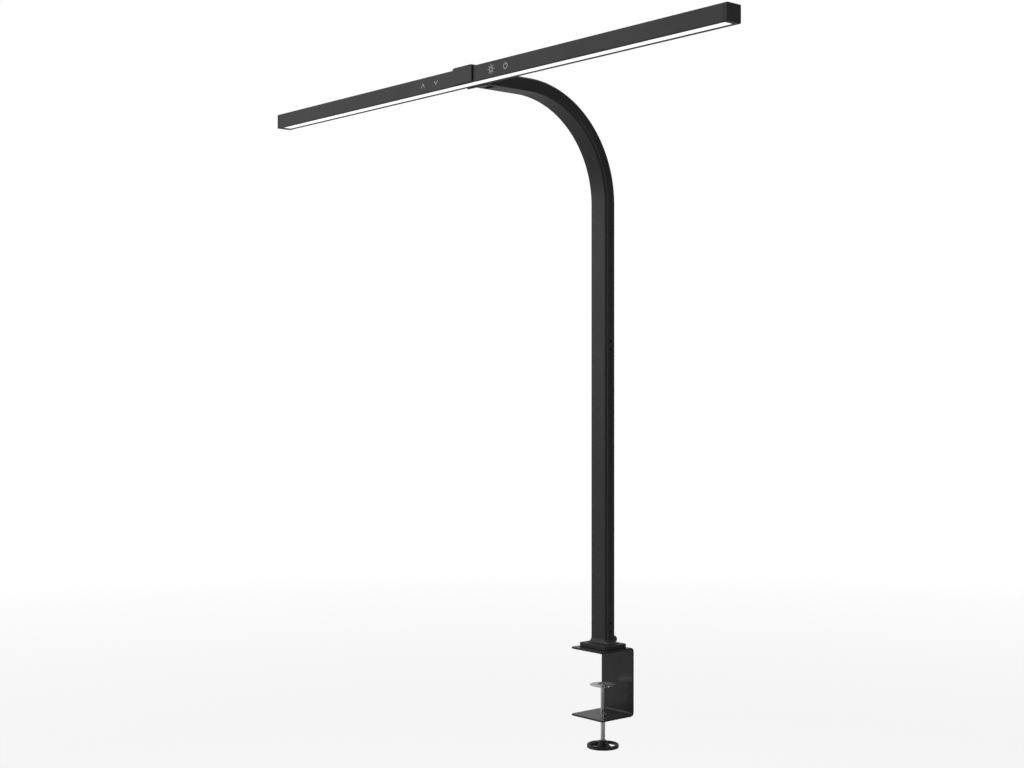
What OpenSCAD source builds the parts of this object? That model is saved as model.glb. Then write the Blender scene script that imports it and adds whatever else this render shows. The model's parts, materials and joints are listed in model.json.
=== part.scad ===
// Desk-clamp light bar: a long lamp carried over a monitor by an arched mast on a screw clamp.
// Millimetres, +Z up, X along the bar, -Y towards the person at the desk.
// The origin is on the face that rests on the desk, straight below the mast.

/* [Light bar] */
// Length of the bar over its end caps
bar_length = 800; // [600:10:1000]
// Depth of the bar from front to back
bar_depth = 20; // [19:0.5:24]
// Height of the bar
bar_height = 18.5; // [18:0.5:22]
// Thickness of the bar's walls
bar_wall = 1.6; // [1.2:0.1:1.8]
// Width of the light opening along the bar's underside
light_width = 14; // [10:0.5:14.5]
// Thickness of the diffuser
diffuser_thick = 1.6; // [1:0.1:2]
// Thickness of each end cap outside the bar
cap_thick = 6; // [3:0.5:10]
// Number of light-emitting diodes on each of the two boards
led_count = 36; // [12:1:60]

/* [Mast] */
// Width of the mast tube across the desk
mast_width = 28.4; // [27:0.1:32]
// Depth of the mast tube from front to back
mast_depth = 16; // [15:0.1:18]
// Outer corner radius of the mast tube
mast_corner = 3.5; // [2:0.1:5]
// Wall of the mast tube
mast_wall = 1.5; // [1:0.1:1.8]
// Height of the arm's centre line above the desk
arm_height = 681.8; // [500:0.1:800]
// Radius of the arch on its centre line
arch_radius = 131; // [100:1:160]
// Straight run of the arm after the arch
arm_straight = 48; // [44:1:90]
// Height at which the two mast sections meet
seam_height = 365; // [120:1:440]
// Distance between the two set screws of a pair
screw_spacing = 10; // [8:0.5:12]

/* [Clamp] */
// Width of the clamp across the desk edge
clamp_width = 55; // [52:1:70]
// Reach of the jaws in front of the mast centre
jaw_front = 28; // [24:0.5:40]
// Distance from the mast centre to the back of the clamp
jaw_back = 26.5; // [24:0.5:40]
// Thickness of the clamp's sheet
sheet_thick = 2.2; // [2:0.1:3]
// Outer radius of the clamp's two bends
bend_radius = 5; // [4:0.5:8]
// Depth of the clamp below the desk top
clamp_drop = 82.2; // [75:0.1:100]
// Thickness of the soft pad under the top jaw
pad_thick = 0.8; // [0.5:0.1:2]

/* [Screw and knob] */
// Diameter of the clamp screw
screw_diameter = 6; // [5.5:0.1:6.4]
// Distance from the desk top to the pressure pad's rim
pad_gap = 43.2; // [40:0.1:46]
// Diameter of the pressure pad
pressure_diameter = 32.6; // [26:0.2:40]
// Diameter of the knob
knob_diameter = 39.4; // [34:0.2:46]
// Height of the knob's ring
ring_height = 4.4; // [3:0.1:6]
// Number of spokes in the knob
spoke_count = 3; // [3:1:6]

/* [Tilt hinge] */
// Radius of the hinge barrel
barrel_radius = 8; // [7:0.1:8]
// Width of the hub's tongue between the arm's two cheeks
tongue_width = 15; // [14:0.5:15.5]
// Diameter of the hinge screw
pin_diameter = 4; // [3.5:0.1:4.2]

/* [Hidden] */
$fn = 64;
eps = 1;              // overlap used only where one shape cuts another
slack = 0.05;         // gap between pieces that are fitted together
run_gap = 0.05;       // radial gap of a shaft that turns

// heights of the clamp and the base
jaw_bottom = pad_thick;
jaw_top = jaw_bottom + sheet_thick;
lower_bottom = -clamp_drop;
plate_height = 5.3;
plate_top = jaw_top + plate_height;
plate_width = 46.5;
plate_depth = 36;
skirt_height = 8.6;
skirt_spread = 4.4;
skirt_lip = 1.1;
tube_foot = plate_top + skirt_height;
spigot_length = 28;
first_screw = 6.8;
nut_flange = 2.5;
plinth_screw_x = 18.5;
plinth_screw_y = 11.5;

// the mast's inner section, and the hollow spigots that slide into it
bore_width = mast_width - 2 * mast_wall;
bore_depth = mast_depth - 2 * mast_wall;
bore_corner = mast_corner - mast_wall;
plug_width = bore_width - 2 * slack;
plug_depth = bore_depth - 2 * slack;
duct_width = 18;
duct_depth = 8;
duct_corner = 1.5;
joiner_half = 30;
plug_length = 40;
spring_height = arm_height - arch_radius;
arm_end = -(arch_radius + arm_straight);

// the tilt hinge and the bar, one behind the other
barrel_gap = 1;
hinge_y = arm_end - barrel_gap - barrel_radius;
bracket_back = hinge_y - barrel_radius - barrel_gap;
bracket_plate = 2;
saddle_back_wall = 2.9;
saddle_front_wall = 1.7;
saddle_top_wall = 2;
saddle_drop = 0.8;
saddle_width = 34.4;
saddle_corner = 2;
bar_back = bracket_back - bracket_plate - saddle_back_wall;
bar_y = bar_back - bar_depth / 2;
bar_front = bar_back - bar_depth;
bar_bottom = arm_height - bar_height / 2;
bar_top = arm_height + bar_height / 2;
lip_thick = 1.2;
bar_corner = 1;
half_bar = bar_length / 2;
half_housing = half_bar - cap_thick;
cap_plug = 8;
washer_thick = 0.5;
cheek_inner = tongue_width / 2 + washer_thick + 2 * slack;
cheek_outer = mast_width / 2;
slot_floor = hinge_y + barrel_radius + 0.6;

// the socket at the back of the base
inlet_radius = 4;
inlet_height = plate_top + inlet_radius - 1.3;
inlet_inner = duct_depth / 2;
inlet_outer = 21;
inlet_bore = 2.8;
inlet_depth = 9;
wire_radius = 1.6;

// small fasteners
set_screw_radius = 2;
set_screw_length = 4.4;
set_screw_recess = 0.4;
small_screw_radius = 1.5;
fit_gap = 0.04;       // radial gap of a fixed screw in its hole

// the clamp screw, pad and knob
screw_radius = screw_diameter / 2;
rim_top = -pad_gap;
pad_floor = rim_top - 1.8;
pad_under = pad_floor - 1;
neck_radius = 2;
retainer_radius = 4;
retainer_thick = 1;
ring_bottom = -121.2;
ring_top = ring_bottom + ring_height;
hub_top = ring_top + 4.4;
hub_top_radius = 4.7;
hub_bottom_radius = 8;
ring_width = 2.8;
ring_inner_height = 2.4;
knob_nut_height = 4;
knob_nut_radius = 5.7;

black = "#2a2b2d";
deep_black = "#1c1c1e";
chrome = "#c9ccd0";
steel = "#8d9095";

// ---- shared shapes ----

// a rectangle with round corners, centred on the origin
module rounded_rect(w, d, r) {
    square([w - 2 * r, d], center = true);
    square([w, d - 2 * r], center = true);
    for (sx = [-1, 1], sy = [-1, 1])
        translate([sx * (w / 2 - r), sy * (d / 2 - r)])
            circle(r);
}

// extrudes an outline drawn in Y and Z along X
module along_x(from_x, length) {
    translate([from_x, 0, 0])
        rotate([90, 0, 90])
            linear_extrude(length)
                children();
}

// extrudes an outline drawn in X and Z towards the front
module to_front(from_y, length) {
    translate([0, from_y, 0])
        rotate([90, 0, 0])
            linear_extrude(length)
                children();
}

// a round bar from a point along X or Y
module rod_x(x, y, z, r, length) {
    translate([x, y, z])
        rotate([0, 90, 0])
            cylinder(r = r, h = length);
}

module rod_y(x, y, z, r, length) {
    translate([x, y, z])
        rotate([-90, 0, 0])
            cylinder(r = r, h = length);
}

// sweeps one section up the mast, round the arch and out along the arm
module along_mast(w, d, r, foot, end_y) {
    translate([0, 0, foot])
        linear_extrude(spring_height - foot)
            rounded_rect(w, d, r);
    translate([0, -arch_radius, spring_height])
        rotate([90, 0, 90])
            rotate_extrude(angle = 90, $fn = 180)
                translate([arch_radius, 0])
                    rounded_rect(d, w, r);
    translate([0, -arch_radius, arm_height])
        rotate([90, 0, 0])
            linear_extrude(-arch_radius - end_y)
                rounded_rect(w, d, r);
}

// a grub screw with a hexagon socket, its outer end at the origin and its body along +Z
module grub_screw() {
    difference() {
        cylinder(r = set_screw_radius, h = set_screw_length);
        translate([0, 0, -eps])
            cylinder(r = 1.1, h = eps + 1.8, $fn = 6);
    }
}

// a pair of grub screws in the mast's +X side
module screw_pair(first_z) {
    for (i = [0, 1])
        translate([mast_width / 2 - set_screw_recess, 0, first_z + i * screw_spacing])
            rotate([0, -90, 0])
                grub_screw();
}

// the holes for such a pair
module pair_holes(first_z) {
    for (i = [0, 1])
        rod_x(duct_width / 2 - eps, 0, first_z + i * screw_spacing,
            set_screw_radius + fit_gap, mast_width);
}

// ---- clamp ----

// the bent sheet seen from the side: a C that opens to the front
module clamp_outline(inset) {
    r = bend_radius - inset;
    low = lower_bottom + inset;
    high = jaw_top - inset;
    back = jaw_back - inset;
    front = -jaw_front - (inset > 0 ? eps : 0);
    translate([front, low])
        square([back - r - front, high - low]);
    translate([front, low + r])
        square([back - front, high - low - 2 * r]);
    for (z = [low + r, high - r])
        translate([back - r, z])
            circle(r);
}

// the clamp seen from above, with its front corners eased
module clamp_plan() {
    ease = 2;
    translate([-clamp_width / 2, -jaw_front + ease])
        square([clamp_width, jaw_front + jaw_back - ease]);
    translate([-clamp_width / 2 + ease, -jaw_front])
        square([clamp_width - 2 * ease, ease]);
    for (s = [-1, 1])
        translate([s * (clamp_width / 2 - ease), -jaw_front + ease])
            circle(ease);
}

module at_plinth_screws() {
    for (sx = [-1, 1], sy = [-1, 1])
        translate([sx * plinth_screw_x, sy * plinth_screw_y, jaw_bottom])
            children();
}

nut_barrel = 4;
nut_head = 5;

module clamp_frame() {
    sink = 1.5;
    color(black) difference() {
        intersection() {
            along_x(-clamp_width / 2, clamp_width)
                difference() {
                    clamp_outline(0);
                    clamp_outline(sheet_thick);
                }
            translate([0, 0, lower_bottom - eps])
                linear_extrude(jaw_top - lower_bottom + 2 * eps)
                    clamp_plan();
        }
        translate([0, 0, lower_bottom - eps])
            cylinder(r = nut_barrel, h = sheet_thick + 2 * eps);
        at_plinth_screws() {
            translate([0, 0, -eps])
                cylinder(r = small_screw_radius + fit_gap, h = sheet_thick + 2 * eps);
            cylinder(r1 = 2 * small_screw_radius + fit_gap, r2 = small_screw_radius + fit_gap, h = sink);
        }
    }
}

// a clinch nut pressed into the lower jaw from below, flush with the jaw on top
module clamp_nut() {
    color(chrome) difference() {
        union() {
            translate([0, 0, lower_bottom])
                cylinder(r = nut_barrel, h = sheet_thick);
            translate([0, 0, lower_bottom - nut_flange])
                cylinder(r = nut_head, h = nut_flange);
        }
        translate([0, 0, lower_bottom - nut_flange - eps])
            cylinder(r = screw_radius + run_gap, h = sheet_thick + nut_flange + 2 * eps);
    }
}

module desk_pad() {
    inset = 2.5;
    length = jaw_front + jaw_back - inset - bend_radius - sheet_thick;
    color(deep_black)
        translate([0, -jaw_front + inset + length / 2, 0])
            linear_extrude(pad_thick)
                rounded_rect(clamp_width - 2 * inset, length, 2);
}

// ---- base ----

// one level of the skirt, spread outwards from the mast's own section
module skirt_level(height, spread) {
    translate([0, 0, height])
        linear_extrude(0.01)
            rounded_rect(mast_width + 2 * spread, mast_depth + 2 * spread, mast_corner + spread / 2, $fn = 32);
}

// a concave flare from the base plate up to the mast
module skirt() {
    levels = 6;
    rise = skirt_height - skirt_lip - 1;
    function level_z(i) = plate_top + skirt_lip + rise * (1 - cos(90 * i / levels));
    function level_spread(i) = skirt_spread * (1 - sin(90 * i / levels));
    translate([0, 0, plate_top])
        linear_extrude(skirt_lip)
            rounded_rect(mast_width + 2 * skirt_spread, mast_depth + 2 * skirt_spread, mast_corner + skirt_spread / 2, $fn = 32);
    for (i = [0 : levels - 1])
        hull() {
            skirt_level(level_z(i) - 0.01, level_spread(i));
            skirt_level(level_z(i + 1), level_spread(i + 1));
        }
    translate([0, 0, plate_top + skirt_lip + rise])
        linear_extrude(1)
            rounded_rect(mast_width, mast_depth, mast_corner);
}

// cast base: plate, skirt, and a hollow spigot that stands inside the mast
module base_plinth() {
    screw_depth = 4.6;
    duct_floor = 6;
    color(black) difference() {
        union() {
            translate([0, 0, jaw_top])
                linear_extrude(plate_height)
                    rounded_rect(plate_width, plate_depth, 1.5);
            skirt();
            translate([0, 0, tube_foot])
                linear_extrude(spigot_length)
                    rounded_rect(plug_width, plug_depth, bore_corner);
        }
        translate([0, 0, duct_floor])
            linear_extrude(tube_foot + spigot_length)
                rounded_rect(duct_width, duct_depth, duct_corner);
        rod_y(0, 0, inlet_height, inlet_radius + fit_gap, plate_depth);
        pair_holes(tube_foot + first_screw);
        at_plinth_screws()
            translate([0, 0, sheet_thick - eps])
                cylinder(r = small_screw_radius + fit_gap, h = eps + screw_depth);
    }
}

module plinth_screws() {
    head = 1.4;
    color(steel)
        at_plinth_screws()
            difference() {
                union() {
                    cylinder(r1 = 2 * small_screw_radius, r2 = small_screw_radius, h = head);
                    translate([0, 0, head])
                        cylinder(r = small_screw_radius, h = 5);
                }
                translate([0, 0, -eps])
                    cylinder(r = 1, h = eps + 0.8, $fn = 6);
            }
}

// barrel socket for the low-voltage plug
module dc_inlet() {
    color(deep_black) difference() {
        rod_y(0, inlet_inner, inlet_height, inlet_radius, inlet_outer - inlet_inner);
        rod_y(0, inlet_outer - inlet_depth, inlet_height, inlet_bore, inlet_depth + eps);
    }
}

module dc_pin() {
    color(chrome)
        rod_y(0, inlet_outer - inlet_depth, inlet_height, 1, inlet_depth - 1.5);
}

// ---- mast ----

module mast_lower() {
    color(black) difference() {
        translate([0, 0, tube_foot])
            linear_extrude(seam_height - tube_foot)
                difference() {
                    rounded_rect(mast_width, mast_depth, mast_corner);
                    rounded_rect(bore_width, bore_depth, bore_corner);
                }
        pair_holes(tube_foot + first_screw);
    }
}

module base_set_screws() {
    color(deep_black)
        screw_pair(tube_foot + first_screw);
}

// hollow sleeve inside both mast sections
module mast_joiner() {
    color(steel) difference() {
        translate([0, 0, seam_height - joiner_half])
            linear_extrude(2 * joiner_half)
                difference() {
                    rounded_rect(plug_width, plug_depth, bore_corner);
                    rounded_rect(duct_width, duct_depth, duct_corner);
                }
        pair_holes(seam_height + first_screw);
    }
}

// the small screw under the arm that holds its tip
tip_screw_x = -9.5;
tip_screw_inset = 29;
tip_screw_y = arm_end + tip_screw_inset;

module tip_screw_hole() {
    translate([tip_screw_x, tip_screw_y, arm_height - mast_depth / 2 - eps])
        cylinder(r = set_screw_radius + fit_gap, h = eps + set_screw_length + set_screw_recess + fit_gap);
}

module mast_upper() {
    color(black) difference() {
        along_mast(mast_width, mast_depth, mast_corner, seam_height, arm_end);
        along_mast(bore_width, bore_depth, bore_corner, seam_height - eps, arm_end - eps);
        pair_holes(seam_height + first_screw);
        tip_screw_hole();
    }
}

module mid_set_screws() {
    color(deep_black)
        screw_pair(seam_height + first_screw);
}

// the lead inside the mast, from the socket to the arm's tip
module feed_wire() {
    bend = inlet_inner;
    arm_run = 40;
    wire_end = -(arch_radius + arm_run);
    color("#141414") {
        translate([0, bend, inlet_height + bend])
            rotate([90, 0, 90])
                rotate_extrude(angle = 90)
                    translate([-bend, 0])
                        circle(wire_radius);
        translate([0, 0, inlet_height + bend])
            cylinder(r = wire_radius, h = spring_height - inlet_height - bend);
        translate([0, -arch_radius, spring_height])
            rotate([90, 0, 90])
                rotate_extrude(angle = 90, $fn = 180)
                    translate([arch_radius, 0])
                        circle(wire_radius, $fn = 32);
        rod_y(0, wire_end, arm_height, wire_radius, -arch_radius - wire_end);
    }
}

// plug that closes the arm, whose head carries the mast's section on into two round cheeks
module arm_tip() {
    duct = 2.6;
    color(black) difference() {
        union() {
            translate([0, arm_end, arm_height])
                rotate([-90, 0, 0])
                    linear_extrude(plug_length)
                        rounded_rect(plug_width, plug_depth, bore_corner);
            intersection() {
                translate([0, arm_end, arm_height])
                    rotate([90, 0, 0])
                        linear_extrude(arm_end - hinge_y + barrel_radius)
                            rounded_rect(mast_width, mast_depth, mast_corner);
                union() {
                    rod_x(-mast_width, hinge_y, arm_height, barrel_radius, 2 * mast_width);
                    translate([-mast_width, hinge_y, arm_height - mast_depth / 2])
                        cube([2 * mast_width, arm_end - hinge_y, mast_depth]);
                }
            }
        }
        translate([-cheek_inner, hinge_y - barrel_radius - eps, arm_height - mast_depth])
            cube([2 * cheek_inner, slot_floor - hinge_y + barrel_radius + eps, 2 * mast_depth]);
        rod_x(-mast_width, hinge_y, arm_height, pin_diameter / 2 + fit_gap, 2 * mast_width);
        rod_x(cheek_outer - hinge_head_depth, hinge_y, arm_height,
            hinge_head_radius + 0.2, hinge_head_depth + eps);
        translate([-cheek_outer - eps, hinge_y, arm_height])
            rotate([0, 90, 0])
                cylinder(r = hinge_nut_radius + 0.1, h = hinge_nut_depth + eps, $fn = 6);
        rod_y(0, slot_floor - eps, arm_height, duct, plug_length + 2 * eps);
        tip_screw_hole();
    }
}

module tip_set_screw() {
    color(deep_black)
        translate([tip_screw_x, tip_screw_y, arm_height - mast_depth / 2 + set_screw_recess])
            grub_screw();
}

// ---- clamp screw, pad and knob ----

// shallow dished disc whose rim presses on the desk from below
module pressure_pad() {
    outer = pressure_diameter / 2;
    rim = 2;
    floor_radius = 8;
    color(chrome)
        rotate_extrude()
            polygon([
                [neck_radius + run_gap, pad_under],
                [floor_radius - 0.4, pad_under],
                [outer - 0.4, rim_top - 1],
                [outer, rim_top - 0.6],
                [outer, rim_top],
                [outer - rim, rim_top],
                [floor_radius, pad_floor],
                [neck_radius + run_gap, pad_floor]
            ]);
}

module clamp_screw() {
    shoulder = pad_under - slack;
    end_z = ring_bottom + 0.5;
    color(chrome) {
        translate([0, 0, end_z])
            cylinder(r = screw_radius, h = shoulder - end_z);
        translate([0, 0, shoulder])
            cylinder(r = neck_radius, h = rim_top - 0.3 - shoulder);
    }
}

// ring pressed on the screw's neck, which keeps the pad on
module pad_retainer() {
    color(steel)
        translate([0, 0, pad_floor + slack])
            difference() {
                cylinder(r = retainer_radius, h = retainer_thick);
                translate([0, 0, -eps])
                    cylinder(r = neck_radius, h = retainer_thick + 2 * eps);
            }
}

// a wheel with a conical boss and sloping spokes
module clamp_knob() {
    outer = knob_diameter / 2;
    inner = outer - ring_width;
    ease = 0.8;
    spoke_width = 3.6;
    start_angle = 230;
    color(deep_black) difference() {
        union() {
            rotate_extrude()
                polygon([
                    [inner, ring_top - ring_inner_height],
                    [outer - 1.6, ring_bottom],
                    [outer - ease, ring_bottom],
                    [outer, ring_bottom + ease],
                    [outer, ring_top - ease],
                    [outer - ease, ring_top],
                    [inner, ring_top]
                ]);
            translate([0, 0, ring_bottom])
                cylinder(r = hub_bottom_radius, h = 3);
            translate([0, 0, ring_bottom + 3])
                cylinder(r1 = hub_bottom_radius, r2 = hub_top_radius, h = hub_top - ring_bottom - 3);
            for (i = [0 : spoke_count - 1])
                rotate([0, 0, start_angle + i * 360 / spoke_count])
                    translate([0, spoke_width / 2, 0])
                        rotate([90, 0, 0])
                            linear_extrude(spoke_width)
                                polygon([
                                    [knob_nut_radius + 1, ring_bottom + 1.2],
                                    [inner + 0.8, ring_top - ring_inner_height + 0.2],
                                    [inner + 0.8, ring_top - 0.6],
                                    [hub_top_radius - 0.6, hub_top - 1],
                                    [hub_top_radius - 0.6, ring_bottom + knob_nut_height + 0.4]
                                ]);
        }
        translate([0, 0, ring_bottom - eps])
            cylinder(r = screw_radius + fit_gap, h = hub_top - ring_bottom + 2 * eps);
        translate([0, 0, ring_bottom - eps])
            cylinder(r = knob_nut_radius + slack, h = eps + knob_nut_height + slack, $fn = 6);
    }
}

module knob_nut() {
    color(steel)
        translate([0, 0, ring_bottom])
            difference() {
                cylinder(r = knob_nut_radius, h = knob_nut_height, $fn = 6);
                translate([0, 0, -eps])
                    cylinder(r = screw_radius + fit_gap, h = knob_nut_height + 2 * eps);
            }
}

// ---- tilt hinge and hub ----

hinge_head_radius = 3.4;
hinge_head_depth = 2.4;
hinge_nut_radius = 4;
hinge_nut_depth = 3;
bracket_screw_x = 4.6;
bracket_screw_end = hinge_y - pin_diameter / 2 - 2.5;
lead_radius = 1.4;
lead_gap = 0.4;
lead_z = arm_height + 4.6;

// back plate with one tongue that turns between the arm's cheeks
module hub_bracket() {
    color(black) difference() {
        union() {
            translate([-cheek_outer, bracket_back - bracket_plate, bar_bottom])
                cube([2 * cheek_outer, bracket_plate, bar_height]);
            rod_x(-tongue_width / 2, hinge_y, arm_height, barrel_radius, tongue_width);
            translate([-tongue_width / 2, bracket_back - eps, arm_height - barrel_radius])
                cube([tongue_width, hinge_y - bracket_back + eps, 2 * barrel_radius]);
        }
        rod_x(-mast_width, hinge_y, arm_height, pin_diameter / 2 + run_gap, 2 * mast_width);
        for (s = [-1, 1])
            rod_y(s * bracket_screw_x, bar_back, arm_height,
                small_screw_radius + fit_gap, bracket_screw_end - bar_back + fit_gap);
        rod_y(0, bar_back, lead_z, lead_radius + lead_gap, hinge_y + 2 * barrel_radius - bar_back);
    }
}

// outline of the bar's section in Y and Z
module bar_section(grow) {
    translate([bar_y, arm_height])
        rounded_rect(bar_depth + 2 * grow, bar_height + 2 * grow, bar_corner);
}

// clip that hugs the bar's front, top and back and leaves the light opening free
module hub_saddle() {
    front = bar_front - saddle_front_wall;
    back = bar_back + saddle_back_wall;
    top = bar_top + saddle_top_wall;
    low = bar_bottom - saddle_drop;
    mid_y = (front + back) / 2;
    color(black) difference() {
        intersection() {
            along_x(-saddle_width / 2, saddle_width)
                translate([mid_y, (top + low) / 2])
                    rounded_rect(back - front, top - low, saddle_corner / 2);
            to_front(back + eps, back - front + 2 * eps) {
                translate([0, (top + low - saddle_corner) / 2])
                    square([saddle_width, top - low - saddle_corner], center = true);
                translate([0, (top + low) / 2])
                    square([saddle_width - 2 * saddle_corner, top - low], center = true);
                for (s = [-1, 1])
                    translate([s * (saddle_width / 2 - saddle_corner), top - saddle_corner])
                        circle(saddle_corner);
            }
        }
        along_x(-saddle_width, 2 * saddle_width)
            bar_section(slack);
        translate([-saddle_width, front - eps, low - eps])
            cube([2 * saddle_width, bar_back + slack - front + eps, bar_bottom + bar_corner - low + eps]);
        for (s = [-1, 1])
            rod_y(s * bracket_screw_x, bar_back - eps, arm_height,
                small_screw_radius + fit_gap, saddle_back_wall + 2 * eps);
        rod_y(0, bar_back - eps, lead_z, lead_radius + lead_gap, saddle_back_wall + 2 * eps);
    }
}

module bracket_screws() {
    head_radius = 2.6;
    head_height = 1.6;
    seat = bar_back - bar_wall;
    color(steel)
        for (s = [-1, 1]) {
            rod_y(s * bracket_screw_x, seat - head_height, arm_height, head_radius, head_height);
            rod_y(s * bracket_screw_x, seat, arm_height, small_screw_radius, bracket_screw_end - seat);
        }
}

// shoulder screw that the bar tilts on
module hinge_screw() {
    head_x = cheek_outer - hinge_head_depth;
    color(steel) difference() {
        union() {
            rod_x(-cheek_outer + 0.4, hinge_y, arm_height, pin_diameter / 2, head_x + cheek_outer - 0.4);
            rod_x(head_x, hinge_y, arm_height, hinge_head_radius, hinge_head_depth - 0.3);
        }
        translate([head_x + 0.6, hinge_y, arm_height])
            rotate([0, 90, 0])
                cylinder(r = 1.7, h = hinge_head_depth, $fn = 6);
    }
}

module hinge_nut() {
    color(steel)
        translate([-cheek_outer + 0.2, hinge_y, arm_height])
            rotate([0, 90, 0])
                difference() {
                    cylinder(r = hinge_nut_radius, h = hinge_nut_depth - 0.2, $fn = 6);
                    translate([0, 0, -eps])
                        cylinder(r = pin_diameter / 2 + fit_gap, h = hinge_nut_depth + 2 * eps);
                }
}

// one thin washer on each side of the tongue
module friction_washers() {
    radius = 6.4;
    color("#b9b2a0")
        for (x = [-cheek_inner + slack, cheek_inner - slack - washer_thick])
            difference() {
                rod_x(x, hinge_y, arm_height, radius, washer_thick);
                rod_x(x - eps, hinge_y, arm_height, pin_diameter / 2 + run_gap, washer_thick + 2 * eps);
            }
}

// ---- light bar ----

cavity_width = bar_depth - 2 * bar_wall;
cavity_low = bar_bottom + lip_thick;
cavity_high = bar_top - bar_wall;
board_thick = 1.2;
board_end = half_housing - cap_plug - 2;
board_low = cavity_high - slack - board_thick;

// one continuous extrusion, open below between two lips
module bar_housing() {
    color(black) difference() {
        along_x(-half_housing, 2 * half_housing)
            difference() {
                bar_section(0);
                translate([bar_y - cavity_width / 2, cavity_low])
                    square([cavity_width, cavity_high - cavity_low]);
                translate([bar_y - light_width / 2, bar_bottom - eps])
                    square([light_width, lip_thick + 2 * eps]);
            }
        for (s = [-1, 1])
            rod_y(s * bracket_screw_x, bar_y, arm_height, small_screw_radius + fit_gap, bar_depth);
        rod_y(0, bar_y, lead_z, lead_radius + lead_gap, bar_depth);
    }
}

module diffuser() {
    color("#f4f4f0")
        translate([-half_housing, bar_y - cavity_width / 2 + slack, cavity_low + slack])
            cube([2 * half_housing, cavity_width - 2 * slack, diffuser_thick]);
}

// strip that carries half of the light-emitting diodes
module led_board(from_x) {
    width = 12;
    color("#e6e6e2")
        translate([from_x, bar_y - width / 2, board_low])
            cube([board_end - 2, width, board_thick]);
}

module led_board_left() {
    led_board(-board_end);
}

module led_board_right() {
    led_board(2);
}

module leds() {
    chip = [3.5, 2.8, 0.8];
    pitch = (board_end - 2) / led_count;
    color("#f3dc7a")
        for (s = [-1, 1], i = [0 : led_count - 1])
            translate([s * (2 + pitch * (i + 0.5)) - chip[0] / 2, bar_y - chip[1] / 2, board_low - chip[2]])
                cube(chip);
}

// touch sensor strip behind the front wall
module touch_board() {
    size = [200, 1, 9];
    color("#2f5d3a")
        translate([-size[0] / 2, bar_y - cavity_width / 2 + slack, arm_height - size[2] / 2])
            cube(size);
}

control_x = 26;
control_size = [80, 1.2, 11.6];
control_back_gap = 3.2;
control_y = bar_y + cavity_width / 2 - control_back_gap - control_size[1];

// power and dimming board behind the back wall
module control_board() {
    color("#2f5d3a")
        translate([control_x, control_y, arm_height - control_size[2] / 2])
            cube(control_size);
}

// each chip: distance along the board, length, depth in front of it, height
control_chips = [[4, 7, 2.6, 5], [22, 8, 1, 4], [40, 6, 1.4, 6]];
// each round part: distance along the board, radius, depth in front of it
control_cans = [[56, 3, 3.2], [66, 2.5, 3.6]];

module control_parts() {
    color("#202225") {
        for (c = control_chips)
            translate([control_x + c[0], control_y - c[2], arm_height - c[3] / 2])
                cube([c[1], c[2], c[3]]);
        for (c = control_cans)
            rod_y(control_x + c[0], control_y - c[2], arm_height, c[1], c[2]);
    }
}

// the lead inside the hub and the bar, from the hinge to the control board
module bar_lead() {
    bend = 4;
    turn_y = control_y + control_size[1] / 2;
    entry = hinge_y + 2;
    color("#141414") {
        rod_y(0, turn_y + bend, lead_z, lead_radius, entry - turn_y - bend);
        translate([bend, turn_y + bend, lead_z])
            rotate([0, 0, 180])
                rotate_extrude(angle = 90)
                    translate([bend, 0])
                        circle(lead_radius, $fn = 32);
        rod_x(bend, turn_y, lead_z, lead_radius, control_x - bend);
    }
}

// end cap with a plug that sits in the bar above the diffuser
module end_cap() {
    plug_low = cavity_low + diffuser_thick + 3 * slack;
    edge = 1.2;
    color(black) {
        intersection() {
            along_x(half_housing, cap_thick)
                bar_section(0);
            to_front(bar_back + eps, bar_depth + 2 * eps) {
                translate([half_housing, bar_bottom])
                    square([cap_thick - edge, bar_height]);
                translate([half_housing, bar_bottom + edge])
                    square([cap_thick, bar_height - 2 * edge]);
                for (z = [bar_bottom + edge, bar_top - edge])
                    translate([half_bar - edge, z])
                        circle(edge);
            }
        }
        translate([half_housing - cap_plug, bar_y - cavity_width / 2 + slack, plug_low])
            cube([cap_plug, cavity_width - 2 * slack, cavity_high - slack - plug_low]);
    }
}

module end_cap_right() {
    end_cap();
}

module end_cap_left() {
    mirror([1, 0, 0])
        end_cap();
}

clamp_frame();
clamp_nut();
desk_pad();
base_plinth();
plinth_screws();
mast_lower();
base_set_screws();
mast_joiner();
mast_upper();
mid_set_screws();
dc_inlet();
dc_pin();
feed_wire();
arm_tip();
tip_set_screw();
pressure_pad();
clamp_screw();
pad_retainer();
clamp_knob();
knob_nut();
hub_bracket();
hub_saddle();
bracket_screws();
hinge_screw();
hinge_nut();
friction_washers();
bar_housing();
diffuser();
led_board_left();
led_board_right();
leds();
touch_board();
control_board();
control_parts();
bar_lead();
end_cap_left();
end_cap_right();
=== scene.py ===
import json
import math

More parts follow.
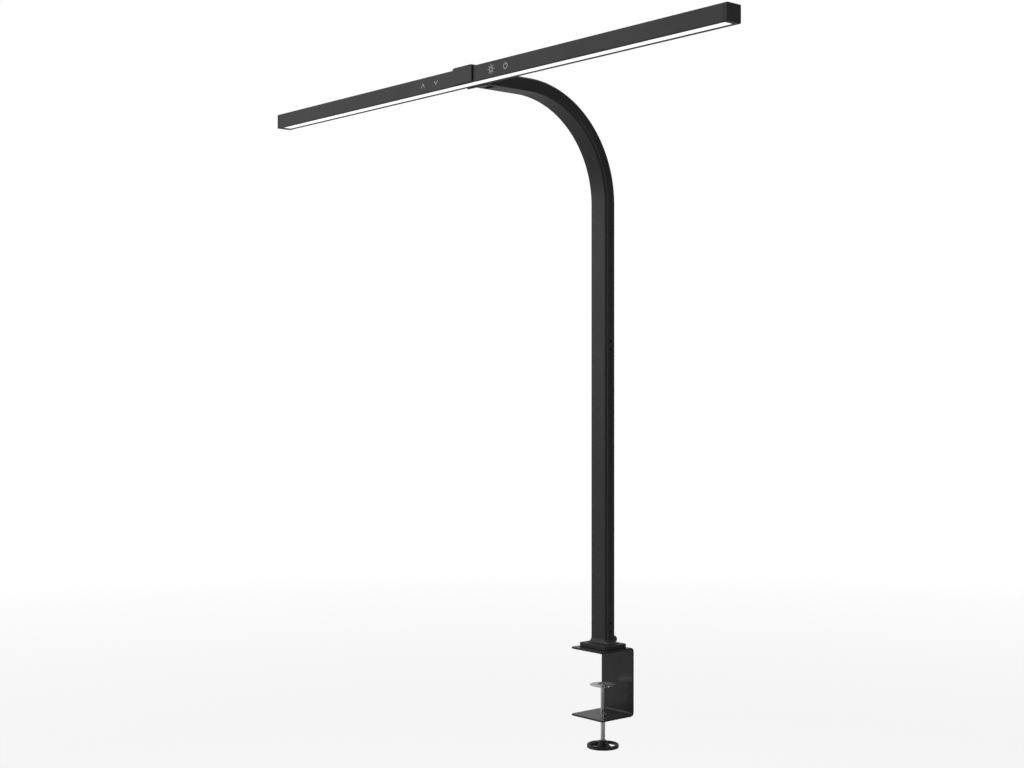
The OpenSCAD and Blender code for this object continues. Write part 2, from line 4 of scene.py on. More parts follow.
import bmesh
import bpy
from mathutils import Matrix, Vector


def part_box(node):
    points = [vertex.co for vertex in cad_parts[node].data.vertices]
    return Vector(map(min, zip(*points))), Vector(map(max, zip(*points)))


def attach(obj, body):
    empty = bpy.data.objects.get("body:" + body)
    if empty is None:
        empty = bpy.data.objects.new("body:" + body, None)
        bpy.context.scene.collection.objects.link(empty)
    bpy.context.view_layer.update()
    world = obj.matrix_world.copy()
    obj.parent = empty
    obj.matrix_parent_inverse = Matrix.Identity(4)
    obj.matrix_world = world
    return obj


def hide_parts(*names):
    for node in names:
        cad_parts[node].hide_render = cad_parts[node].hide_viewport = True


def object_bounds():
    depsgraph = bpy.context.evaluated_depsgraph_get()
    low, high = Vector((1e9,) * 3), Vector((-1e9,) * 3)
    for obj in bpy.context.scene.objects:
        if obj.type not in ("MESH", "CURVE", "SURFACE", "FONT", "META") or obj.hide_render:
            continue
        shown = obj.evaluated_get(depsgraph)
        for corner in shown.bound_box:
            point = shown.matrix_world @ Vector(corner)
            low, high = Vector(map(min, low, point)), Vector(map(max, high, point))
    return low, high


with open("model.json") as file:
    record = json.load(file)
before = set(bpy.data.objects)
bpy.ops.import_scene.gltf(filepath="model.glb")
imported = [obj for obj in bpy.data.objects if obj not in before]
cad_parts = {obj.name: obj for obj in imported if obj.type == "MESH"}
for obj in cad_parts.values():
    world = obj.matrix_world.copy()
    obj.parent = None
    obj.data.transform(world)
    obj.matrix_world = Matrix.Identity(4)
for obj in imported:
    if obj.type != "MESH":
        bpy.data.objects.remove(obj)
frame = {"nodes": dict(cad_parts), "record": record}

mm = 0.001
scene = bpy.context.scene
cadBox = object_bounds()
print("frame loaded")

# camera, light and floor

studio = {
    "cameraPlace": (1.3602, -1.3099, 0.3291),
    "cameraTurn": 49.5,
    "lens": 53.44,
    "sensor": 36.0,
    "roomLight": 0.5,
    "roomDim": 0.1,
    "floorShade": 0.93,
    "floorRadius": 5.0,
    "floorFade": (1.6, 4.2),
    "floorCover": 0.2,
    "floorGap": 300 * mm,
}

camera = bpy.data.objects.new("studioCamera", bpy.data.cameras.new("studioCamera"))
scene.collection.objects.link(camera)
camera.data.lens = studio["lens"]
camera.data.sensor_width = studio["sensor"]
camera.data.clip_start = 0.02
camera.data.clip_end = 60
camera.location = studio["cameraPlace"]
camera.rotation_euler = (math.pi / 2, 0, math.radians(studio["cameraTurn"]))
scene.camera = camera
scene.view_settings.view_transform = "Standard"


# joins a source socket, or sets a plain value
def feed(tree, node, socket, source):
    target = node.inputs[socket]
    if isinstance(source, bpy.types.NodeSocket):
        tree.links.new(source, target)
    else:
        target.default_value = source


def addNode(tree, kind, feeds=None, **settings):
    node = tree.nodes.new(kind)
    for name, value in settings.items():
        setattr(node, name, value)
    for socket, source in (feeds or {}).items():
        feed(tree, node, socket, source)
    return node


def maths(tree, operation, first, second=0.0, clamp=False):
    node = addNode(tree, "ShaderNodeMath", {0: first, 1: second}, operation=operation, use_clamp=clamp)
    return node.outputs[0]


def remap(tree, value, fromLow, fromHigh, toLow, toHigh):
    node = addNode(tree, "ShaderNodeMapRange", {0: value, 1: fromLow, 2: fromHigh, 3: toLow, 4: toHigh})
    return node.outputs[0]


def weigh(tree, first, firstShare, second, secondShare):
    return maths(tree, "ADD", maths(tree, "MULTIPLY", first, firstShare),
                 maths(tree, "MULTIPLY", second, secondShare))


def objectPlace(tree):
    return addNode(tree, "ShaderNodeTexCoord").outputs["Object"]


def mixColor(tree, factor, first, second):
    node = addNode(tree, "ShaderNodeMix", data_type="RGBA")
    feed(tree, node, 0, factor)
    feed(tree, node, 6, first)
    feed(tree, node, 7, second)
    return node.outputs[2]


def noise(tree, vector, scale, detail=2.0, roughness=0.5):
    node = addNode(tree, "ShaderNodeTexNoise", {"Vector": vector, "Scale": scale, "Detail": detail,
                                                "Roughness": roughness})
    return node.outputs[0]


# a room that is white to look at and softer to be lit by, dimmer behind and to the right
def makeRoom():
    world = bpy.data.worlds.new("softStudio")
    scene.world = world
    world.use_nodes = True
    tree = world.node_tree
    tree.nodes.clear()
    out = addNode(tree, "ShaderNodeOutputWorld")
    path = addNode(tree, "ShaderNodeLightPath")
    place = addNode(tree, "ShaderNodeTexCoord")
    lean = addNode(tree, "ShaderNodeVectorMath", operation="DOT_PRODUCT")
    feed(tree, lean, 0, place.outputs["Generated"])
    feed(tree, lean, 1, (-0.9, -0.1, 0.3))
    shade = remap(tree, lean.outputs["Value"], -0.75, 0.75, studio["roomDim"], studio["roomLight"])
    lit = maths(tree, "MAXIMUM", shade, path.outputs["Is Camera Ray"])
    room = addNode(tree, "ShaderNodeBackground", {"Color": (1, 1, 1, 1), "Strength": lit})
    tree.links.new(room.outputs[0], out.inputs["Surface"])


def addLamp(name, place, aim, size, power, shade=(1, 1, 1)):
    lamp = bpy.data.objects.new(name, bpy.data.lights.new(name, "AREA"))
    scene.collection.objects.link(lamp)
    lamp.data.shape = "RECTANGLE"
    lamp.data.size, lamp.data.size_y = size
    lamp.data.energy = power
    lamp.data.color = shade
    lamp.location = place
    lamp.rotation_euler = (Vector(aim) - Vector(place)).to_track_quat("-Z", "Y").to_euler()
    return lamp


lamps = {
    "keyPanel": {"place": (-1.7, -1.9, 1.3), "aim": (0, -0.1, 0.35), "size": (1.8, 2.2), "power": 10},
    "topPanel": {"place": (0.1, -0.1, 2.6), "aim": (0, 0, 0), "size": (2.4, 2.4), "power": 34},
    "sideStrip": {"place": (2.2, 0.35, 0.4), "aim": (0, 0, 0.3), "size": (0.25, 1.6), "power": 6},
}

makeRoom()
for lampName, lampFacts in lamps.items():
    addLamp(lampName, lampFacts["place"], lampFacts["aim"], lampFacts["size"], lampFacts["power"])


# a pale round floor that fades into the room
def makeFloor():
    mesh = bmesh.new()
    bmesh.ops.create_circle(mesh, cap_ends=True, segments=96, radius=studio["floorRadius"])
    data = bpy.data.meshes.new("studioFloor")
    mesh.to_mesh(data)
    mesh.free()
    floor = bpy.data.objects.new("studioFloor", data)
    scene.collection.objects.link(floor)
    floor.location = (0, 0, cadBox[0].z - studio["floorGap"])
    material = bpy.data.materials.new("paleFloor")
    material.use_nodes = True
    tree = material.node_tree
    tree.nodes.clear()
    place = addNode(tree, "ShaderNodeTexCoord")
    reach = addNode(tree, "ShaderNodeVectorMath", {0: place.outputs["Object"]}, operation="LENGTH")
    fade = remap(tree, reach.outputs["Value"], *studio["floorFade"], studio["floorCover"], 0.0)
    speck = noise(tree, place.outputs["Object"], 60.0, 3.0)
    tone = remap(tree, speck, 0.3, 0.7, studio["floorShade"] - 0.008, studio["floorShade"] + 0.008)
    paper = addNode(tree, "ShaderNodeCombineColor", {0: tone, 1: tone, 2: tone})
    card = addNode(tree, "ShaderNodeBsdfDiffuse", {"Color": paper.outputs[0]})
    clear = addNode(tree, "ShaderNodeBsdfTransparent")
    blend = addNode(tree, "ShaderNodeMixShader", {0: fade, 1: clear.outputs[0], 2: card.outputs[0]})
    out = addNode(tree, "ShaderNodeOutputMaterial", {"Surface": blend.outputs[0]})
    data.materials.append(material)


makeFloor()
print("camera, room and floor")

# shader groups


def newGroup(name, inputs, outputs):
    group = bpy.data.node_groups.new(name, "ShaderNodeTree")
    for label, value in inputs.items():
        socket = group.interface.new_socket(name=label, in_out="INPUT", socket_type="NodeSocketFloat")
        socket.default_value = value
    for label in outputs:
        group.interface.new_socket(name=label, in_out="OUTPUT", socket_type="NodeSocketFloat")
    return group, addNode(group, "NodeGroupInput"), addNode(group, "NodeGroupOutput")


# orange peel and a finer tooth; the sizes are in bumps per metre
def makeCoatGrain():
    group, given, result = newGroup("coatGrain", {"Peel": 900.0, "Tooth": 4200.0, "Mottle": 22.0},
                                    ("Height", "Tone"))
    place = objectPlace(group)
    peel = noise(group, place, given.outputs["Peel"], 1.0, 0.4)
    tooth = noise(group, place, given.outputs["Tooth"], 2.0, 0.6)
    mottle = noise(group, place, given.outputs["Mottle"], 3.0, 0.55)
    height = weigh(group, peel, 0.62, tooth, 0.38)
    tone = weigh(group, mottle, 0.72, tooth, 0.28)
    feed(group, result, "Height", height)
    feed(group, result, "Tone", remap(group, tone, 0.32, 0.68, 0.0, 1.0))
    return group


# painted highlight: a mask of the outer edges, used to lighten their colour, broken up so that no line is
# even
def makeEdgeHighlight():
    group, given, result = newGroup("edgeHighlight", {"Radius": 0.5 * mm, "Breakup": 160.0}, ("Mask",))
    shape = addNode(group, "ShaderNodeNewGeometry")
    soft = addNode(group, "ShaderNodeBevel", {"Radius": given.outputs["Radius"]}, samples=4)
    turn = addNode(group, "ShaderNodeVectorMath", operation="DOT_PRODUCT")
    feed(group, turn, 0, soft.outputs[0])
    feed(group, turn, 1, shape.outputs["Normal"])
    edge = remap(group, turn.outputs["Value"], 0.995, 0.86, 0.0, 1.0)
    place = objectPlace(group)
    patch = remap(group, noise(group, place, given.outputs["Breakup"], 4.0, 0.62), 0.42, 0.66, 0.0, 1.0)
    feed(group, result, "Mask", maths(group, "MULTIPLY", edge, patch, clamp=True))
    return group


# faint prints and wiped streaks that only change the gloss
def makeHandMarks():
    group, given, result = newGroup("handMarks", {"Size": 14.0, "Cover": 0.5}, ("Mask",))
    place = objectPlace(group)
    patch = noise(group, place, given.outputs["Size"], 4.0, 0.6)
    drag = addNode(group, "ShaderNodeMapping", {"Vector": place, "Scale": (1.0, 1.0, 0.12)})
    streak = noise(group, drag.outputs[0], maths(group, "MULTIPLY", given.outputs["Size"], 9.0), 2.0, 0.5)
    mixed = weigh(group, patch, 0.7, streak, 0.3)
    low = maths(group, "SUBTRACT", 0.75, maths(group, "MULTIPLY", given.outputs["Cover"], 0.4))
    mask = addNode(group, "ShaderNodeMapRange", {0: mixed, 1: low, 3: 0.0, 4: 1.0})
    feed(group, mask, 2, maths(group, "ADD", low, 0.2))
    feed(group, result, "Mask", mask.outputs[0])
    return group


# a little dust that has settled on whatever faces up
def makeDustFall():
    group, given, result = newGroup("dustFall", {"Amount": 0.1, "Speck": 1800.0}, ("Mask",))
    shape = addNode(group, "ShaderNodeNewGeometry")
    split = addNode(group, "ShaderNodeSeparateXYZ", {0: shape.outputs["Normal"]})
    facing = remap(group, split.outputs["Z"], 0.55, 0.95, 0.0, 1.0)
    place = objectPlace(group)
    speck = remap(group, noise(group, place, given.outputs["Speck"], 3.0, 0.7), 0.48, 0.7, 0.0, 1.0)
    drift = remap(group, noise(group, place, 18.0, 2.0), 0.4, 0.65, 0.2, 1.0)
    dust = maths(group, "MULTIPLY", maths(group, "MULTIPLY", speck, drift), facing)
    feed(group, result, "Mask", maths(group, "MULTIPLY", dust, given.outputs["Amount"]))
    return group


# fine lines along Z left by turning, rolling or drawing
def makeDrawnLines():
    group, given, result = newGroup("drawnLines", {"Count": 3000.0, "Length": 0.03}, ("Height", "Mask"))
    place = objectPlace(group)
    squeeze = addNode(group, "ShaderNodeCombineXYZ", {0: 1.0, 1: 1.0, 2: given.outputs["Length"]})
    drawn = addNode(group, "ShaderNodeVectorMath", {0: place, 1: squeeze.outputs[0]}, operation="MULTIPLY")
    lines = noise(group, drawn.outputs[0], given.outputs["Count"], 2.0, 0.6)
    cloud = noise(group, place, 90.0, 3.0, 0.6)
    feed(group, result, "Height", lines)
    feed(group, result, "Mask", remap(group, weigh(group, lines, 0.5, cloud, 0.5), 0.35, 0.65, 0.0, 1.0))
    return group


effects = {
    "coatGrain": makeCoatGrain(),
    "edgeHighlight": makeEdgeHighlight(),
    "handMarks": makeHandMarks(),
    "dustFall": makeDustFall(),
    "drawnLines": makeDrawnLines(),
}
print("shader groups")

# finishes


def useEffect(tree, name, values=None):
    node = addNode(tree, "ShaderNodeGroup", node_tree=effects[name])
    for label, value in (values or {}).items():
        node.inputs[label].default_value = value
    return node


def newFinish(name, recipe):
    material = bpy.data.materials.new(name)
    material.use_nodes = True
    tree = material.node_tree
    tree.nodes.clear()
    surface = addNode(tree, "ShaderNodeBsdfPrincipled")
    for label, value in recipe.get("fixed", {}).items():
        surface.inputs[label].default_value = value
    addNode(tree, "ShaderNodeOutputMaterial", {"Surface": surface.outputs[0]})
    return material, tree, surface


def addBump(tree, surface, height, distance, strength=1.0):
    bump = addNode(tree, "ShaderNodeBump", {"Strength": strength, "Distance": distance, "Height": height})
    feed(tree, surface, "Normal", bump.outputs[0])


def gray(value, warm=0.0):
    return (value * (1 + warm), value, value * (1 - warm), 1.0)


# powder coat, anodising, black oxide and moulded plastic
def coatedFinish(name, recipe):
    material, tree, surface = newFinish(name, recipe)
    grain = useEffect(tree, "coatGrain", recipe["grain"])
    edgeLight = useEffect(tree, "edgeHighlight", {"Radius": recipe["edgeLightRadius"]})
    marks = useEffect(tree, "handMarks", recipe["marks"])
    dust = useEffect(tree, "dustFall", {"Amount": recipe["dust"]})
    body = mixColor(tree, grain.outputs["Tone"], recipe["deep"], recipe["pale"])
    # painted highlight: the outer edges are lightened towards a paler grey
    edgeLightShare = maths(tree, "MULTIPLY", edgeLight.outputs["Mask"], recipe["edgeLight"])
    edgeLit = mixColor(tree, edgeLightShare, body, recipe["edgeLightColor"])
    dusty = mixColor(tree, dust.outputs["Mask"], edgeLit, (0.42, 0.41, 0.39, 1.0))
    feed(tree, surface, "Base Color", dusty)
    low, high = recipe["rough"]
    rough = remap(tree, grain.outputs["Tone"], 0.0, 1.0, low, high)
    edgeGlossed = maths(tree, "SUBTRACT", rough, maths(tree, "MULTIPLY", edgeLight.outputs["Mask"], 0.1))
    handled = maths(tree, "ADD", edgeGlossed, maths(tree, "MULTIPLY", marks.outputs["Mask"], recipe["smudge"]))
    feed(tree, surface, "Roughness", handled)
    addBump(tree, surface, grain.outputs["Height"], recipe["bump"])
    return material


# chrome, zinc and bare steel
def platedFinish(name, recipe):
    material, tree, surface = newFinish(name, recipe)
    lines = useEffect(tree, "drawnLines", recipe["lines"])
    marks = useEffect(tree, "handMarks", recipe["marks"])
    edgeLight = useEffect(tree, "edgeHighlight", {"Radius": 0.3 * mm, "Breakup": 420.0})
    body = mixColor(tree, lines.outputs["Mask"], recipe["deep"], recipe["pale"])
    # painted highlight: the outer edges are lightened towards a paler colour
    edged = mixColor(tree, maths(tree, "MULTIPLY", edgeLight.outputs["Mask"], 0.35), body, recipe["edgeLightColor"])
    feed(tree, surface, "Base Color", edged)
    low, high = recipe["rough"]
    rough = remap(tree, lines.outputs["Mask"], 0.0, 1.0, low, high)
    feed(tree, surface, "Roughness", maths(tree, "ADD", rough, maths(tree, "MULTIPLY", marks.outputs["Mask"],
                                                                     recipe["smudge"])))
    addBump(tree, surface, lines.outputs["Height"], recipe["bump"])
    return material


# closed-cell foam: small round cells under a thin skin
def foamFinish(name, recipe):
    material, tree, surface = newFinish(name, recipe)
    place = objectPlace(tree)
    cells = addNode(tree, "ShaderNodeTexVoronoi", {"Vector": place, "Scale": recipe["cells"]})
    skin = noise(tree, place, recipe["cells"] * 0.3, 3.0)
    pitDepthAndShade = remap(tree, cells.outputs["Distance"], 0.1, 0.55, 0.0, 1.0)
    # painted shade: the cells' pits are coloured darker than their rims, and the same value sinks them in the
    # bump
    feed(tree, surface, "Base Color", mixColor(tree, pitDepthAndShade, recipe["deep"], recipe["pale"]))
    feed(tree, surface, "Roughness", remap(tree, skin, 0.3, 0.7, 0.78, 0.95))
    addBump(tree, surface, maths(tree, "ADD", pitDepthAndShade, maths(tree, "MULTIPLY", skin, 0.6)), recipe["bump"])
    return material


# opal acrylic, lit from behind by the diodes
def opalFinish(name, recipe):
    material, tree, surface = newFinish(name, recipe)
    place = objectPlace(tree)
    cloud = noise(tree, place, recipe["cloud"], 3.0)
    haze = noise(tree, place, recipe["haze"], 2.0)
    feed(tree, surface, "Base Color", mixColor(tree, cloud, recipe["deep"], recipe["pale"]))
    feed(tree, surface, "Emission Color", mixColor(tree, cloud, recipe["glowDeep"], recipe["glowPale"]))
    feed(tree, surface, "Roughness", remap(tree, haze, 0.3, 0.7, 0.32, 0.46))
    addBump(tree, surface, haze, recipe["bump"])
    return material


# solder mask over copper tracks
def boardFinish(name, recipe):
    material, tree, surface = newFinish(name, recipe)
    place = objectPlace(tree)
    tracks = addNode(tree, "ShaderNodeTexBrick", {"Vector": place, "Scale": recipe["tracks"],
                                                  "Mortar Size": 0.06,
                                                  "Color1": (0, 0, 0, 1), "Color2": (0.2, 0.2, 0.2, 1),
                                                  "Mortar": (1, 1, 1, 1)})
    cloud = noise(tree, place, 140.0, 2.0)
    base = mixColor(tree, cloud, recipe["deep"], recipe["pale"])
    feed(tree, surface, "Base Color", mixColor(tree, tracks.outputs["Fac"], base, recipe["trackColor"]))
    feed(tree, surface, "Roughness", remap(tree, cloud, 0.3, 0.7, 0.28, 0.42))
    addBump(tree, surface, tracks.outputs["Fac"], 0.03 * mm)
    return material


# pressed fibre or cured silicone: short strands in every direction
def strandFinish(name, recipe):
    material, tree, surface = newFinish(name, recipe)
    place = objectPlace(tree)
    strands = addNode(tree, "ShaderNodeTexWave", {"Vector": place, "Scale": recipe["strands"],
                                                  "Distortion": 14.0,
                                                  "Detail": 4.0, "Detail Scale": 2.4})
    speck = noise(tree, place, recipe["strands"] * 2.2, 4.0, 0.7)
    mixed = maths(tree, "ADD", maths(tree, "MULTIPLY", strands.outputs["Fac"], 0.6),
                  maths(tree, "MULTIPLY", speck, 0.4))
    feed(tree, surface, "Base Color", mixColor(tree, mixed, recipe["deep"], recipe["pale"]))
    feed(tree, surface, "Roughness", remap(tree, speck, 0.3, 0.7, *recipe["rough"]))
    addBump(tree, surface, mixed, recipe["bump"])
    return material


powderCoat = {
    "deep": gray(0.0125, 0.02), "pale": gray(0.0185, 0.01),
    "edgeLight": 0.35, "edgeLightColor": gray(0.05), "edgeLightRadius": 0.6 * mm,
    "rough": (0.36, 0.46), "smudge": 0.06, "dust": 0.05, "bump": 0.022 * mm,
    "grain": {"Peel": 950.0, "Tooth": 4200.0, "Mottle": 22.0},
    "marks": {"Size": 14.0, "Cover": 0.4},
    "fixed": {"Specular IOR Level": 0.5},
}
clampCoat = dict(powderCoat, rough=(0.2, 0.28))
barCoat = {
    "deep": gray(0.0185, 0.01), "pale": gray(0.0245, 0.0),
    "edgeLight": 0.3, "edgeLightColor": gray(0.07), "edgeLightRadius": 0.4 * mm,
    "rough": (0.4, 0.5), "smudge": 0.06, "dust": 0.06, "bump": 0.012 * mm,
    "grain": {"Peel": 2600.0, "Tooth": 7000.0, "Mottle": 16.0},
    "marks": {"Size": 11.0, "Cover": 0.4},
    "fixed": {"Specular IOR Level": 0.5},
}
capPlastic = {
    "deep": gray(0.014), "pale": gray(0.019),
    "edgeLight": 0.2, "edgeLightColor": gray(0.05), "edgeLightRadius": 0.4 * mm,
    "rough": (0.42, 0.54), "smudge": 0.05, "dust": 0.05, "bump": 0.03 * mm,
    "grain": {"Peel": 2100.0, "Tooth": 5200.0, "Mottle": 40.0},
    "marks": {"Size": 20.0, "Cover": 0.4},
    "fixed": {"Specular IOR Level": 0.45},
}
knobPlastic = {
    "deep": gray(0.008), "pale": gray(0.013),
    "edgeLight": 0.3, "edgeLightColor": gray(0.04), "edgeLightRadius": 0.5 * mm,
    "rough": (0.34, 0.5), "smudge": 0.08, "dust": 0.08, "bump": 0.02 * mm,
    "grain": {"Peel": 1500.0, "Tooth": 5200.0, "Mottle": 60.0},
    "marks": {"Size": 40.0, "Cover": 0.6},
    "fixed": {"Specular IOR Level": 0.5},
}
blackOxide = {
    "deep": gray(0.006), "pale": gray(0.016),
    "edgeLight": 0.6, "edgeLightColor": gray(0.18), "edgeLightRadius": 0.2 * mm,
    "rough": (0.3, 0.5), "smudge": 0.05, "dust": 0.03, "bump": 0.01 * mm,
    "grain": {"Peel": 2600.0, "Tooth": 9000.0, "Mottle": 300.0},
    "marks": {"Size": 120.0, "Cover": 0.5},
    "fixed": {"Specular IOR Level": 0.6, "Metallic": 0.3},
}
vinylJacket = {
    "deep": gray(0.01), "pale": gray(0.018),
    "edgeLight": 0.1, "edgeLightColor": gray(0.05), "edgeLightRadius": 0.3 * mm,
    "rough": (0.38, 0.5), "smudge": 0.05, "dust": 0.05, "bump": 0.015 * mm,
    "grain": {"Peel": 700.0, "Tooth": 5000.0, "Mottle": 30.0},
    "marks": {"Size": 30.0, "Cover": 0.4},
    "fixed": {"Specular IOR Level": 0.5},
}
markPaint = {
    "deep": gray(0.72), "pale": gray(0.86),
    "edgeLight": 0.1, "edgeLightColor": gray(0.6), "edgeLightRadius": 0.05 * mm,
    "rough": (0.4, 0.55), "smudge": 0.05, "dust": 0.0, "bump": 0.006 * mm,
    "grain": {"Peel": 3000.0, "Tooth": 9000.0, "Mottle": 400.0},
    "marks": {"Size": 60.0, "Cover": 0.4},
    "fixed": {"Specular IOR Level": 0.4},
}
chromePlate = {
    "deep": (0.70, 0.71, 0.73, 1.0), "pale": (0.80, 0.81, 0.83, 1.0), "edgeLightColor": (0.88, 0.88, 0.89, 1.0),
    "rough": (0.07, 0.13), "smudge": 0.12, "bump": 0.002 * mm,
    "lines": {"Count": 2600.0, "Length": 0.05}, "marks": {"Size": 60.0, "Cover": 0.4},
    "fixed": {"Metallic": 1.0},
}
zincSteel = {
    "deep": (0.40, 0.41, 0.42, 1.0), "pale": (0.55, 0.56, 0.58, 1.0), "edgeLightColor": (0.7, 0.7, 0.72, 1.0),
    "rough": (0.24, 0.4), "smudge": 0.1, "bump": 0.006 * mm,
    "lines": {"Count": 5200.0, "Length": 0.2}, "marks": {"Size": 90.0, "Cover": 0.5},
    "fixed": {"Metallic": 1.0},
}
foamRubber = {"deep": gray(0.008), "pale": gray(0.024), "cells": 2400.0, "bump": 0.09 * mm,
              "fixed": {"Specular IOR Level": 0.3}}
opalAcrylic = {
    "deep": (0.88, 0.88, 0.87, 1.0), "pale": (0.95, 0.95, 0.94, 1.0),
    "glowDeep": (0.96, 0.96, 0.95, 1.0), "glowPale": (1.0, 1.0, 0.99, 1.0),
    "cloud": 30.0, "haze": 2400.0, "bump": 0.006 * mm,
    "fixed": {"Emission Strength": 0.9, "IOR": 1.49},
}
whiteMask = {"deep": (0.78, 0.78, 0.76, 1.0), "pale": (0.88, 0.88, 0.86, 1.0),
             "trackColor": (0.66, 0.67, 0.65, 1.0), "tracks": 60.0}
greenMask = {"deep": (0.03, 0.15, 0.05, 1.0), "pale": (0.05, 0.22, 0.08, 1.0),
             "trackColor": (0.12, 0.32, 0.12, 1.0), "tracks": 90.0}
pressedFibre = {"deep": (0.42, 0.36, 0.26, 1.0), "pale": (0.62, 0.56, 0.44, 1.0), "strands": 700.0,
                "rough": (0.7, 0.9), "bump": 0.03 * mm}
phosphorGel = {"deep": (0.86, 0.62, 0.12, 1.0), "pale": (0.94, 0.78, 0.24, 1.0), "strands": 1500.0,
               "rough": (0.3, 0.42), "bump": 0.01 * mm}
packageWhite = {"deep": (0.8, 0.8, 0.78, 1.0), "pale": (0.9, 0.9, 0.88, 1.0), "strands": 2600.0,
                "rough": (0.35, 0.5), "bump": 0.008 * mm}

finishes = {
    "black_coat": coatedFinish("blackPowderCoat", powderCoat),
    "black_anodised": coatedFinish("barBlackCoat", barCoat),
    "cap_black": coatedFinish("capMouldedBlack", capPlastic),
    "black_plastic": coatedFinish("knobMouldedBlack", knobPlastic),
    "dark_screws": coatedFinish("screwBlackOxide", blackOxide),
    "wire_jacket": coatedFinish("wireVinyl", vinylJacket),
    "chrome": platedFinish("brightChrome", chromePlate),
    "plain_steel": platedFinish("zincPlatedSteel", zincSteel),
    "soft_pad": foamFinish("foamRubberPad", foamRubber),
    "diffuser_white": opalFinish("opalDiffuser", opalAcrylic),
    "white_board": boardFinish("whiteSolderMask", whiteMask),
    "green_board": boardFinish("greenSolderMask", greenMask),
    "washer_fibre": strandFinish("pressedFibre", pressedFibre),
    "led_yellow": strandFinish("phosphorGel", phosphorGel),
}
clampBlack = coatedFinish("blackClampCoat", clampCoat)
markWhite = coatedFinish("touchMarkWhite", markPaint)
ledPackage = strandFinish("diodePackage", packageWhite)

# every frame node takes its slot's finish; pieces below replace the ones that show
for part in frame["record"]["subparts"]:
    nodeMesh = frame["nodes"][part["node"]].data
    nodeMesh.materials.clear()
    nodeMesh.materials.append(finishes[part["material_slot"]])
print("finishes")

# shared shapes


# rounds the corners of an outline; a corner is (x, y) or (x, y, its own radius)
def softOutline(corners, radius=0.0, steps=6, closed=True):
    points = []
    count = len(corners)
    for index, corner in enumerate(corners):
        here = Vector(corner[:2])
        size = corner[2] if len(corner) > 2 else radius
        isEnd = not closed and index in (0, count - 1)
        if size <= 0 or isEnd:
            points.append(here)
            continue
        back = (Vector(corners[index - 1][:2]) - here).normalized()
        ahead = (Vector(corners[(index + 1) % count][:2]) - here).normalized()
        half = back.angle(ahead) / 2
        centre = here + (back + ahead).normalized() * size / math.sin(half)
        first = here + back * size / math.tan(half) - centre
        last = here + ahead * size / math.tan(half) - centre
        sweep = math.atan2(first.x * last.y - first.y * last.x, first.dot(last))
        for step in range(steps + 1):
            angle = sweep * step / steps
            turned = Vector((first.x * math.cos(angle) - first.y * math.sin(angle),
                             first.x * math.sin(angle) + first.y * math.cos(angle)))
            points.append(centre + turned)
    return points


def roundedLoop(width, depth, radius, steps=8):
    return softOutline([(width / 2, -depth / 2), (width / 2, depth / 2), (-width / 2, depth / 2),
                        (-width / 2, -depth / 2)], radius, steps)


def newPiece(name, data):
    piece = bpy.data.objects.new(name, data)
    scene.collection.objects.link(piece)
    return piece


def pieceFromMesh(name, mesh):
    data = bpy.data.meshes.new(name)
    mesh.to_mesh(data)
    mesh.free()
    return newPiece(name, data)


def pieceFromBmesh(name, mesh, weld=0.001 * mm):
    bmesh.ops.remove_doubles(mesh, verts=mesh.verts, dist=weld)
    bmesh.ops.recalc_face_normals(mesh, faces=mesh.faces)
    return pieceFromMesh(name, mesh)


# skins a stack of loops that all have the same number of points
def loftPiece(name, loops, ringed=False):
    mesh = bmesh.new()
    rows = [[mesh.verts.new(point) for point in loop] for loop in loops]
    pairs = list(zip(rows, rows[1:]))
    if ringed:
        pairs.append((rows[-1], rows[0]))
    for lower, upper in pairs:
        for index in range(len(lower)):
            after = (index + 1) % len(lower)
            mesh.faces.new((lower[index], lower[after], upper[after], upper[index]))
    if not ringed:
        mesh.faces.new(rows[0])
        mesh.faces.new(rows[-1])
    return pieceFromBmesh(name, mesh)


# an outline in Y and Z, carried along X
def barPiece(name, outline, fromX, toX):
    return loftPiece(name, [[(x, p[0], p[1]) for p in outline] for x in (fromX, toX)])


# turns an outline of (radius, height) about the line x = y = 0; ringed outlines close on themselves
def turnedPiece(name, outline, segments=96, ringed=False):
    mesh = bmesh.new()
    rows = []
    for radius, height in outline:
        if radius < 1e-7:
            rows.append([mesh.verts.new((0, 0, height))] * segments)
            continue
        rows.append([mesh.verts.new((radius * math.cos(2 * math.pi * i / segments),
                                     radius * math.sin(2 * math.pi * i / segments), height))
                     for i in range(segments)])
    pairs = list(zip(rows, rows[1:]))
    if ringed:
        pairs.append((rows[-1], rows[0]))
    for lower, upper in pairs:
        for index in range(segments):
            after = (index + 1) % segments
            corners = []
            for vert in (lower[index], lower[after], upper[after], upper[index]):
                if vert not in corners:
                    corners.append(vert)
            if len(corners) > 2:
                mesh.faces.new(corners)
    return pieceFromBmesh(name, mesh)


def movePiece(piece, turn=None, shift=(0, 0, 0)):
    if turn is not None:
        piece.data.transform(turn)
    for vertex in piece.data.vertices:
        vertex.co += Vector(shift)
    piece.data.update()
    return piece


# a copy of a frame node with its triangles joined into whole faces
def copyNode(node, name):
    mesh = bmesh.new()
    mesh.from_mesh(frame["nodes"][node].data)
    bmesh.ops.remove_doubles(mesh, verts=mesh.verts, dist=0.002 * mm)
    bmesh.ops.dissolve_limit(mesh, angle_limit=math.radians(1.0), verts=mesh.verts, edges=mesh.edges)
    return pieceFromMesh(name, mesh)


def addBevel(piece, width, segments=3, angle=32):
    bevel = piece.modifiers.new("easedEdges", "BEVEL")
    bevel.width = width
    bevel.segments = segments
    bevel.limit_method = "ANGLE"
    bevel.angle_limit = math.radians(angle)
    bevel.miter_outer = "MITER_ARC"
    bevel.use_clamp_overlap = True
    return bevel


